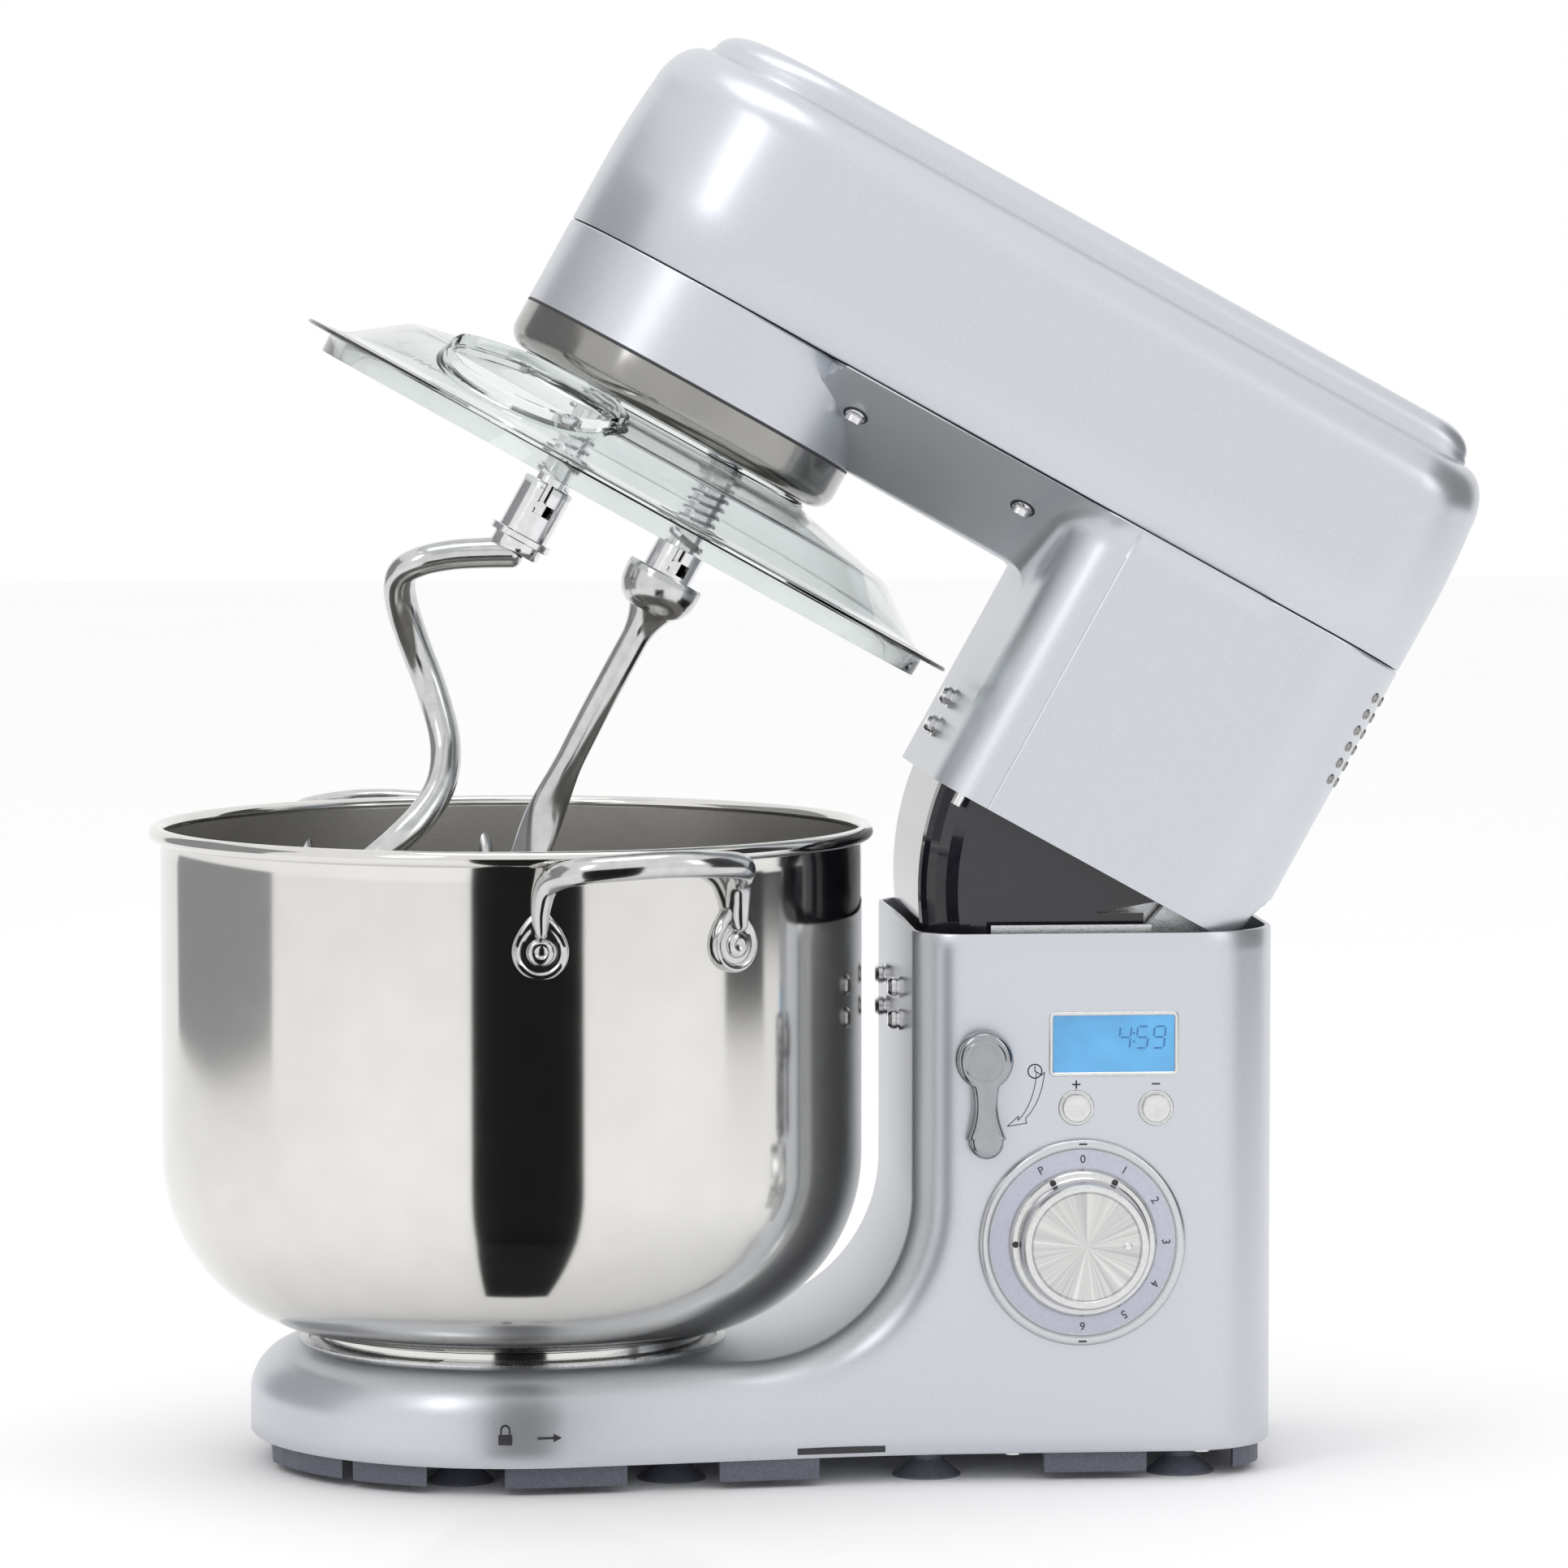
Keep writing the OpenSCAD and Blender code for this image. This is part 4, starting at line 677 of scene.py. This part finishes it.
def build_buttons():
    for name, centre, body in (("plus", PLUS, "plus"), ("minus", MINUS, "minus")):
        face_lathe(name + "_rim", centre, [(5.6, 0.0), (5.7, 0.5), (6.4, 0.6), (6.8, 0.1)], KNOB, "base", n=64)
        face_lathe(name + "_cap", centre, [(5.25, -2.0), (5.25, 1.9), (5.0, 2.3), (4.5, 2.5), (3.6, 2.4), (0, 2.2)], KNOB,
                   body, (name + "_button",), n=64)
    for k, (x, w, h) in enumerate(((PLUS[0], 3.2, 0.6), (PLUS[0], 0.6, 3.2), (MINUS[0], 3.2, 0.6))):
        verts, faces = outline_plate(rounded_box(w, h, 0.2), 0, 0.15, 0.05)
        finish_mesh("button_mark_%d" % k, verts, faces, INK, "base", on_face(x, PLUS[1] + 8.8))


def lever_width(t):
    """Half the lever's width at t along it, from the top of the head to the tip."""
    top, tip, length = 11.0, 6.7, 48.4
    s = t * length
    head = math.sqrt(max(top ** 2 - (s - top) ** 2, 0)) if s < 2 * top else 0
    tail = math.sqrt(max(tip ** 2 - (length - tip - s) ** 2, 0)) if s > length - 2 * tip else 0
    waist = 4.6 + 0.018 * (s - 27.5) ** 2 if 14 < s < 41 else 0
    return max(head, tail, waist)


def build_lever():
    length, n = 48.4, 100
    ts = [0.5 - 0.5 * math.cos(math.pi * i / n) for i in range(n + 1)]
    right = [(lever_width(t), 11 - t * length) for t in ts]
    ring = [(x, y) for x, y in right] + [(-x, y) for x, y in right[-2:0:-1]]
    middle = [(0.6 * (11 - y) / 30.7, y) for x, y in ring]
    rings = []
    for shrink, z in ((0.86, 2.6), (0.95, 3.0), (1.0, 4.2), (1.0, 6.2), (0.97, 8.0), (0.90, 9.2), (0.78, 9.9), (0.55, 10.2),
                      (0.25, 10.25)):
        rings.append([(m[0] + p[0] * shrink, p[1] + (1 - shrink) * (-13 - p[1]) * 0.25, z) for p, m in zip(ring, middle)])
    verts, faces = loft(rings)
    finish_mesh("lever_handle", verts, faces, LEVER_CHROME, "lever", on_face(*LEVER), ("release_lever",), 60)
    face_lathe("lever_dish", LEVER, [(8.2, 9.9), (7.6, 10.35), (6.8, 10.2), (0, 9.8)], LEVER_CHROME, "lever",
               n=64)
    face_lathe("lever_boss", LEVER, [(4.0, -12), (4.0, 0.3), (5.8, 0.3), (5.8, 2.9), (0, 2.9)], BRIGHT, "lever",
               n=48)


def strip_mesh(points, width, height, z):
    """A printed line through points in the face plane."""
    verts, faces = [], []
    for k in range(len(points) - 1):
        a, b = Vector(points[k]), Vector(points[k + 1])
        d = (b - a).normalized()
        s = Vector((-d.y, d.x)) * width / 2
        base = len(verts)
        quad = [a - s - d * width / 3, b - s + d * width / 3, b + s + d * width / 3, a + s - d * width / 3]
        verts += [(q.x, q.y, z) for q in quad] + [(q.x, q.y, z + height) for q in quad]
        faces += [tuple(base + i for i in f) for f in ((3, 2, 1, 0), (4, 5, 6, 7), (0, 1, 5, 4), (1, 2, 6, 5), (2, 3, 7, 6),
                                                      (3, 0, 4, 7))]
    return verts, faces


def build_marks():
    bend = arc(LEVER[0] + 9.0, LEVER[1] + 2.0, 15.5, 33, -10, -62, 8)
    tip = bend[-1]
    outer = arc(LEVER[0] + 8.0, LEVER[1] - 2.0, 12.8, 24.0, -8, -64, 8)
    inner = arc(LEVER[0] + 8.2, LEVER[1] - 2.0, 15.6, 24.6, -8, -58, 8)[::-1]
    shape = outer + [(outer[-1][0] + 0.2, outer[-1][1] + 1.6), (outer[-1][0] - 4.0, outer[-1][1] - 2.2),
                     (inner[0][0] + 0.4, inner[0][1] - 1.8), inner[0]] + inner[1:] + [(outer[0][0] + 1.9, outer[0][1] - 1.2),
                                                                                     outer[0]]
    verts, faces = strip_mesh(shape, 0.3, 0.1, 0)
    finish_mesh("turn_arrow", verts, faces, INK, "base", on_face(0, 0))
    # clock mark above the arrow
    cx, cz = LEVER[0] + 20.0, LEVER[1] - 15.0
    ringpts = arc(cx, cz + 10, 2.6, 2.6, 0, 360, 28)
    verts, faces = strip_mesh(ringpts, 0.45, 0.1, 0)
    finish_mesh("clock_mark", verts, faces, INK, "base", on_face(0, 0))
    verts, faces = strip_mesh([(cx, cz + 11.8), (cx, cz + 10), (cx + 1.3, cz + 9.3)], 0.4, 0.1, 0)
    finish_mesh("clock_hands", verts, faces, INK, "base", on_face(0, 0))


INK_GAP = 0.08
BEZEL = material("satin_bezel", (0.62, 0.63, 0.65), 1.0, 0.30, 0.05, 1200, 0.03)
KNOB = material("satin_knob", (0.70, 0.70, 0.70), 1.0, 0.26, 0.05, 1000, 0.03)
LEVER_CHROME = material("lever_chrome", (0.36, 0.37, 0.39), 1.0, 0.16, 0.04, 300, 0.01)


def spun_material():
    """Radially brushed metal: streaks that run round the dial's own axis."""
    m = material("spun_metal", (0.62, 0.62, 0.61), 1.0, 0.26, 0.04, 900, 0.02, Anisotropic=0.6)
    nt = m.node_tree
    p = nt.nodes["Principled BSDF"]
    coord = nt.nodes.new("ShaderNodeTexCoord")
    shift = nt.nodes.new("ShaderNodeVectorMath")
    shift.operation = "SUBTRACT"
    shift.inputs[1].default_value = (AXIS_X + DIAL[0] * MM, 0, DIAL[1] * MM)
    nt.links.new(coord.outputs["Object"], shift.inputs[0])
    split = nt.nodes.new("ShaderNodeSeparateXYZ")
    nt.links.new(shift.outputs["Vector"], split.inputs["Vector"])
    angle = nt.nodes.new("ShaderNodeMath")
    angle.operation = "ARCTAN2"
    nt.links.new(split.outputs["X"], angle.inputs[0])
    nt.links.new(split.outputs["Z"], angle.inputs[1])
    noise = nt.nodes.new("ShaderNodeTexNoise")
    noise.noise_dimensions = "1D"
    noise.inputs["Scale"].default_value = 3.2
    noise.inputs["Detail"].default_value = 7
    noise.inputs["Roughness"].default_value = 0.75
    nt.links.new(angle.outputs["Value"], noise.inputs["W"])
    ramp = nt.nodes.new("ShaderNodeValToRGB")
    ramp.color_ramp.elements[0].color = (0.42, 0.42, 0.42, 1)
    ramp.color_ramp.elements[0].position = 0.3
    ramp.color_ramp.elements[1].color = (0.82, 0.82, 0.80, 1)
    ramp.color_ramp.elements[1].position = 0.72
    nt.links.new(noise.outputs["Fac"], ramp.inputs["Fac"])
    nt.links.new(ramp.outputs["Color"], p.inputs["Base Color"])
    return m


SPUN = spun_material()
def build_lid():
    """The clear lid: a stepped dome with a collar, a skirt and a flange, and an oval feed opening with a raised rim."""
    z = LID_Z
    top = [(139.0, z + 0.8), (138.6, z + 1.6), (126, z + 2.9), (123, z + 4.2), (104, z + 18.4), (101, z + 19.6),
           (70, z + 26.2), (66, z + 27.4), (61.5, z + 28.6), (60.1, z + 30.5), (60.1, 277.9)]
    under = [(58.0, 277.9), (58.0, z + 28.4), (65.4, z + 25.4), (69.6, z + 24.2), (100.2, z + 17.6), (102.6, z + 16.6),
             (121.6, z + 2.4), (124.4, z + 0.9), (126.7, z), (126.7, z - 6.8), (127.6, z - 7), (128.8, z - 7), (129, z - 6.6),
             (129.2, z), (138.4, z), (139.0, z + 0.4)]
    verts, faces = lathe(top + under, 224)
    lid = finish_mesh("lid_shell", verts, faces, GLASS, "head", AT_HEAD, ("splash_lid",), 28)
    feed = (94 * math.cos(math.radians(234)), 94 * math.sin(math.radians(234)))
    place = AT_HEAD @ Matrix.Translation((feed[0], feed[1], 0)) @ Matrix.Rotation(math.radians(324), 4, "Z")
    oval = [(x, y) for x, y in arc(0, 0, 37.5, 22.5, 0, 360, 72)[:-1]]
    cutter = bpy.data.meshes.new("feed_cutter")
    verts, faces = loft([[(x, y, h) for x, y in oval] for h in (z - 20, z + 60)])
    cutter.from_pydata(verts, [], faces)
    cutter.transform(place)
    tool = bpy.data.objects.new("feed_cutter", cutter)
    bpy.context.scene.collection.objects.link(tool)
    cut = lid.modifiers.new("feed", "BOOLEAN")
    cut.operation, cut.solver, cut.object = "DIFFERENCE", "EXACT", tool
    bpy.context.view_layer.update()
    result = bpy.data.meshes.new_from_object(lid.evaluated_get(bpy.context.evaluated_depsgraph_get()))
    lid.modifiers.clear()
    lid.data = result
    bpy.data.objects.remove(tool)
    result.shade_smooth()
    result.set_sharp_from_angle(angle=math.radians(28))

    def dome(x, y):
        r = math.hypot(x, y)
        pts = sorted(top[:-2])
        return float(np.interp(r, [q[0] for q in pts], [q[1] for q in pts]))

    c, s = math.cos(math.radians(324)), math.sin(math.radians(324))
    rings = []
    for grow, lift in ((0.2, -2.6), (0.0, 0.2), (0.5, 4.6), (1.4, 5.2), (2.4, 4.6), (2.6, 1.2), (4.2, 0.4), (4.2, -0.2)):
        ring = []
        for x, y in arc(0, 0, 37.5 + grow, 22.5 + grow, 0, 360, 96)[:-1]:
            h = dome(feed[0] + x * c - y * s, feed[1] + x * s + y * c)
            ring.append((x, y, min(h, z + 25) + lift))
        rings.append(ring)
    verts, faces = loft(rings + [rings[0]], False, False)
    finish_mesh("lid_feed_rim", verts, faces, GLASS, "head", place, (), 50)


def build_neck_details():
    """Screw heads, each ringed by painted shade in its recess, on the slanted side below the head, and vent slots round
    its rear corners.
    """
    slant = math.atan2(SEAM_Z - KEEL_Z, 56)
    for x in (57.4, 130.0):
        for side in (-1, 1):
            z = KEEL_Z + (49 - 17) / 56 * (SEAM_Z - KEEL_Z)
            turn = Matrix.Rotation(side * -(math.pi - slant), 4, "X") if side > 0 else Matrix.Rotation(math.pi - slant, 4, "X")
            place = AT_HEAD @ Matrix.Translation((x, side * 49.0, z)) @ turn
            # painted shade: a matte dark ring round each screw head stands in for the shadow inside its recess
            v, f = lathe([(5.0, -0.3), (5.0, 0.12), (4.7, 0.3), (4.2, 0.3), (3.9, 0.1)], 48, closed=False, caps=False)
            finish_mesh("recess_%d_%s" % (x, "near" if side < 0 else "far"), v, f, DARK, "head", place)
            v, f = lathe([(4.0, 0.05), (3.9, 0.5), (3.2, 1.0), (1.6, 1.2), (1.2, 0.7), (0, 0.6)], 48, closed=False)
            finish_mesh("screw_%d_%s" % (x, "near" if side < 0 else "far"), v, f, BRIGHT, "head", place)
    rear = HEAD_BACK - HEAD_CORNER
    for side in (-1, 1):
        verts, faces = [], []
        for deg in (14, 32):
            for k in range(6):
                a = math.radians(deg)
                local = Matrix.Translation((rear + HEAD_CORNER * math.cos(a), side * (HEAD_HALF - HEAD_CORNER + HEAD_CORNER
                                           * math.sin(a)), 281 + 7 * k)) @ Matrix.Rotation(side * a, 4, "Z") \
                    @ Matrix.Rotation(math.pi / 2, 4, "Y")
                v, f = lathe([(2.1, -0.4), (2.1, 0.3), (1.8, 0.6), (1.3, 0.55), (1.1, 0.0), (0, -0.1)], 20, closed=False)
                faces += [tuple(i + len(verts) for i in face) for face in f]
                verts += [tuple(local @ Vector(p)) for p in v]
        finish_mesh("vent_holes_%s" % ("near" if side < 0 else "far"), verts, faces, RING, "head", AT_HEAD)


def side_frame(x, z):
    """A frame on the outside of the base, with X along it and Z out of it."""
    if x < SIDE_A[0]:
        y, a = -math.sqrt(FOOT_R ** 2 - x ** 2), math.asin(x / FOOT_R)
    else:
        y, a = -(SIDE_A[1] - FLARE * (x - SIDE_A[0])), math.atan(FLARE)
    return AT_BASE @ Matrix.Translation((x, y - 0.05, z)) @ Matrix.Rotation(a, 4, "Z") @ Matrix.Rotation(math.pi / 2, 4, "X")


def build_lock_mark():
    verts, faces = outline_plate(rounded_box(5.2, 4.0, 0.5), 0, 0.12, 0.04)
    finish_mesh("padlock_body", verts, faces, INK, "base", side_frame(-8.1, 22.0))
    verts, faces = strip_mesh([(-1.6, 1.6)] + arc(0, 3.6, 1.6, 1.8, 180, 0, 10) + [(1.6, 1.6)], 0.6, 0.12, 0)
    finish_mesh("padlock_shackle", verts, faces, INK, "base", side_frame(-8.1, 22.0))
    verts, faces = strip_mesh([(-4.0, 0), (2.6, 0)], 0.9, 0.12, 0)
    finish_mesh("lock_arrow_line", verts, faces, INK, "base", side_frame(8.3, 22.5))
    head = [[(1.6, -1.6, h), (4.8, 0, h), (1.6, 1.6, h)] for h in (0, 0.12)]
    verts, faces = loft(head)
    finish_mesh("lock_arrow_head", verts, faces, INK, "base", side_frame(8.3, 22.5), smooth=False)


def build_ring():
    profile = [(NOSE_R, RING_Z[1]), (NOSE_R, RING_Z[1] - 2)] + [(NOSE_R - 8 + x, RING_Z[0] + 8 + y) for x, y in
                                                               arc(0, 0, 8, 8, 0, -90, 12)]
    profile += [(60.4, RING_Z[0] + 0.2), (60.4, RING_Z[0] + 1.8), (62, RING_Z[0] + 3), (64, RING_Z[1])]
    verts, faces = lathe(profile, 224)
    finish_mesh("nose_ring", verts, faces, RING, "head", AT_HEAD, ("chrome_ring",), 40)
    # painted shade: a matte dark band over the seam between the nose ring and the shell stands in for the shadow in the
    # gap
    verts, faces = lathe([(NOSE_R - 0.9, RING_Z[1] - 0.9), (NOSE_R + 0.05, RING_Z[1] - 0.5), (NOSE_R + 0.05, RING_Z[1] + 0.4),
                          (NOSE_R - 0.9, RING_Z[1] + 0.6)], 224)
    finish_mesh("nose_ring_gap_shade", verts, faces, DARK, "head", AT_HEAD)


build_ring()
build_lid()
build_neck_details()
build_lock_mark()
build_dial()
build_display()
build_buttons()
build_lever()
build_marks()

# ---- floor, light and camera ----
def panel(name, place, target, size, colour, strength=0.0, seen=True):
    """A flat studio panel facing a point; only glossy rays see it unless seen is true."""
    mesh = bpy.data.meshes.new(name)
    w, h = size[0] / 2, size[1] / 2
    mesh.from_pydata([(-w, -h, 0), (w, -h, 0), (w, h, 0), (-w, h, 0)], [], [(0, 1, 2, 3)])
    obj = bpy.data.objects.new(name, mesh)
    obj.location = place
    obj.rotation_euler = (Vector(place) - Vector(target)).to_track_quat("Z", "Y").to_euler()
    mesh.materials.append(material(name, colour, 0, 0.9, 0.01, 5, 0))
    bpy.context.scene.collection.objects.link(obj)
    obj.visible_camera = obj.visible_diffuse = obj.visible_shadow = obj.visible_transmission = seen
    return obj


def dark_shape(name, corners):
    """A black studio flag through four places near the bowl, which only reflections see."""
    mesh = bpy.data.meshes.new(name)
    mesh.from_pydata([at_bowl(*c) for c in corners], [], [(0, 1, 2, 3)])
    obj = bpy.data.objects.new(name, mesh)
    mesh.materials.append(material(name, (0.004, 0.004, 0.004), 0, 0.9, 0.01, 5, 0))
    bpy.context.scene.collection.objects.link(obj)
    obj.visible_camera = obj.visible_diffuse = obj.visible_shadow = obj.visible_transmission = False


def soft_light(name, place, target, size, power):
    lamp = bpy.data.lights.new(name, "AREA")
    lamp.shape, lamp.size, lamp.size_y, lamp.energy = "RECTANGLE", size[0], size[1], power
    obj = bpy.data.objects.new(name, lamp)
    obj.location = place
    obj.rotation_euler = (Vector(place) - Vector(target)).to_track_quat("Z", "Y").to_euler()
    bpy.context.scene.collection.objects.link(obj)
    return obj


def at_bowl(x, y, z):
    return (AXIS_X + x * MM, y * MM, z * MM)


def around(azimuth, distance, z):
    """A place at an azimuth from the bowl's axis: 0 is towards -Y and positive is towards +X."""
    a = math.radians(azimuth)
    return (AXIS_X + distance * math.sin(a), -distance * math.cos(a), z)


bpy.ops.mesh.primitive_plane_add(size=14, location=(0, 0, 0))
floor = bpy.context.object
floor.name = "floor"
floor.data.materials.append(material("pale_floor", (0.965, 0.965, 0.97), 0, 0.75, 0.004, 3, 0))

world = bpy.data.worlds.new("studio")
bpy.context.scene.world = world
bpy.context.scene.view_settings.view_transform = "Standard"
world.use_nodes = True
world.node_tree.nodes["Background"].inputs["Color"].default_value = (1, 1, 1, 1)
world.node_tree.nodes["Background"].inputs["Strength"].default_value = 1.0

MIDDLE = (0, 0, 0.27)
soft_light("key", around(-38, 1.9, 1.7), MIDDLE, (0.5, 1.0), 5)
soft_light("fill", around(55, 2.0, 1.2), MIDDLE, (0.5, 1.0), 2)
soft_light("top", (0.0, -0.1, 2.1), MIDDLE, (1.2, 0.8), 5)
NEAR, FAR = ((-25, -136), (16, -137)), ((-57, -256), (62, -249))
dark_shape("dark_strip", [(*FAR[0], 0), (*FAR[1], 0), (*FAR[1], 262), (*FAR[0], 262)])
dark_shape("dark_floor", [(*NEAR[0], 1), (*NEAR[1], 1), (*FAR[1], 1), (*FAR[0], 1)])
panel("dark_right", around(76, 1.6, 0.6), at_bowl(0, 0, 150), (0.5, 1.6), (0.02, 0.02, 0.022), seen=False)
panel("dark_rear", (1.5, 0.25, 0.75), MIDDLE, (1.2, 1.5), (0.05, 0.05, 0.055), seen=False)
panel("grey_left", around(-112, 1.3, 0.5), at_bowl(0, 0, 150), (1.5, 1.4), (0.30, 0.30, 0.31), seen=False)

CAM_AZ, CAM_EL, CAM_DISTANCE, FOCAL_PX = math.radians(-5.0), math.radians(4.3), 2.906, 9300.0
aim = Vector(at_bowl(105, 0, 259))
camera = bpy.data.objects.new("camera", bpy.data.cameras.new("camera"))
back = Vector((math.sin(CAM_AZ) * math.cos(CAM_EL), -math.cos(CAM_AZ) * math.cos(CAM_EL), math.sin(CAM_EL)))
camera.location = aim + back * CAM_DISTANCE
camera.rotation_euler = back.to_track_quat("Z", "Y").to_euler()
camera.data.sensor_width = 36.0
camera.data.lens = FOCAL_PX / 1932 * 36.0
camera.data.clip_end = 50
bpy.context.scene.collection.objects.link(camera)
bpy.context.scene.camera = camera

# ---- finishes of the CAD nodes that stay ----
KEPT = {
    PAINT: ["base_housing", "head_top_shell", "top_cover", "head_lower_shell"],
    STEEL: ["mixing_bowl", "bowl_foot"],
    CAST: ["bowl_handles", "handle_rivets", "dough_hook_a", "dough_hook_b"],
    RING: ["chrome_ring"],
    BRIGHT: ["base_screws", "hinge_pin", "neck_screws", "guide_pins", "latch_bolt", "main_shaft", "pinion_shaft",
             "spindle_a", "spindle_b", "spindle_spring_a", "spindle_spring_b", "release_lever", "plus_button",
             "minus_button", "column_studs", "head_studs"],
    BRUSHED: ["rim_strip", "dial_bezel", "speed_knob", "hinge_bracket", "head_bracket", "lever_cam", "bowl_seat",
              "planet_gear_a", "planet_gear_b", "ring_gear"],
    ALUMINIUM: ["gearbox_frame", "chassis_plate", "planet_carrier", "motor_housing"],
    BLACK: ["neck_shield"],
    DARK: ["bottom_plate", "speed_encoder", "cord_inlet", "cooling_fan", "drive_belt", "belt_pulley"],
    RUBBER: ["suction_feet", "underside_pads"],
    BOARD: ["display_board", "power_board"],
    NYLON: ["main_gear"],
    COPPER: ["motor_rotor"],
    DIAL_RING: ["dial_ring"],
    LCD_BLUE: ["lcd_window"],
    GLASS: ["splash_lid"],
}
for finish, names in KEPT.items():
    for node_name in names:
        for s in frame["nodes"][node_name].material_slots:
            s.material = finish
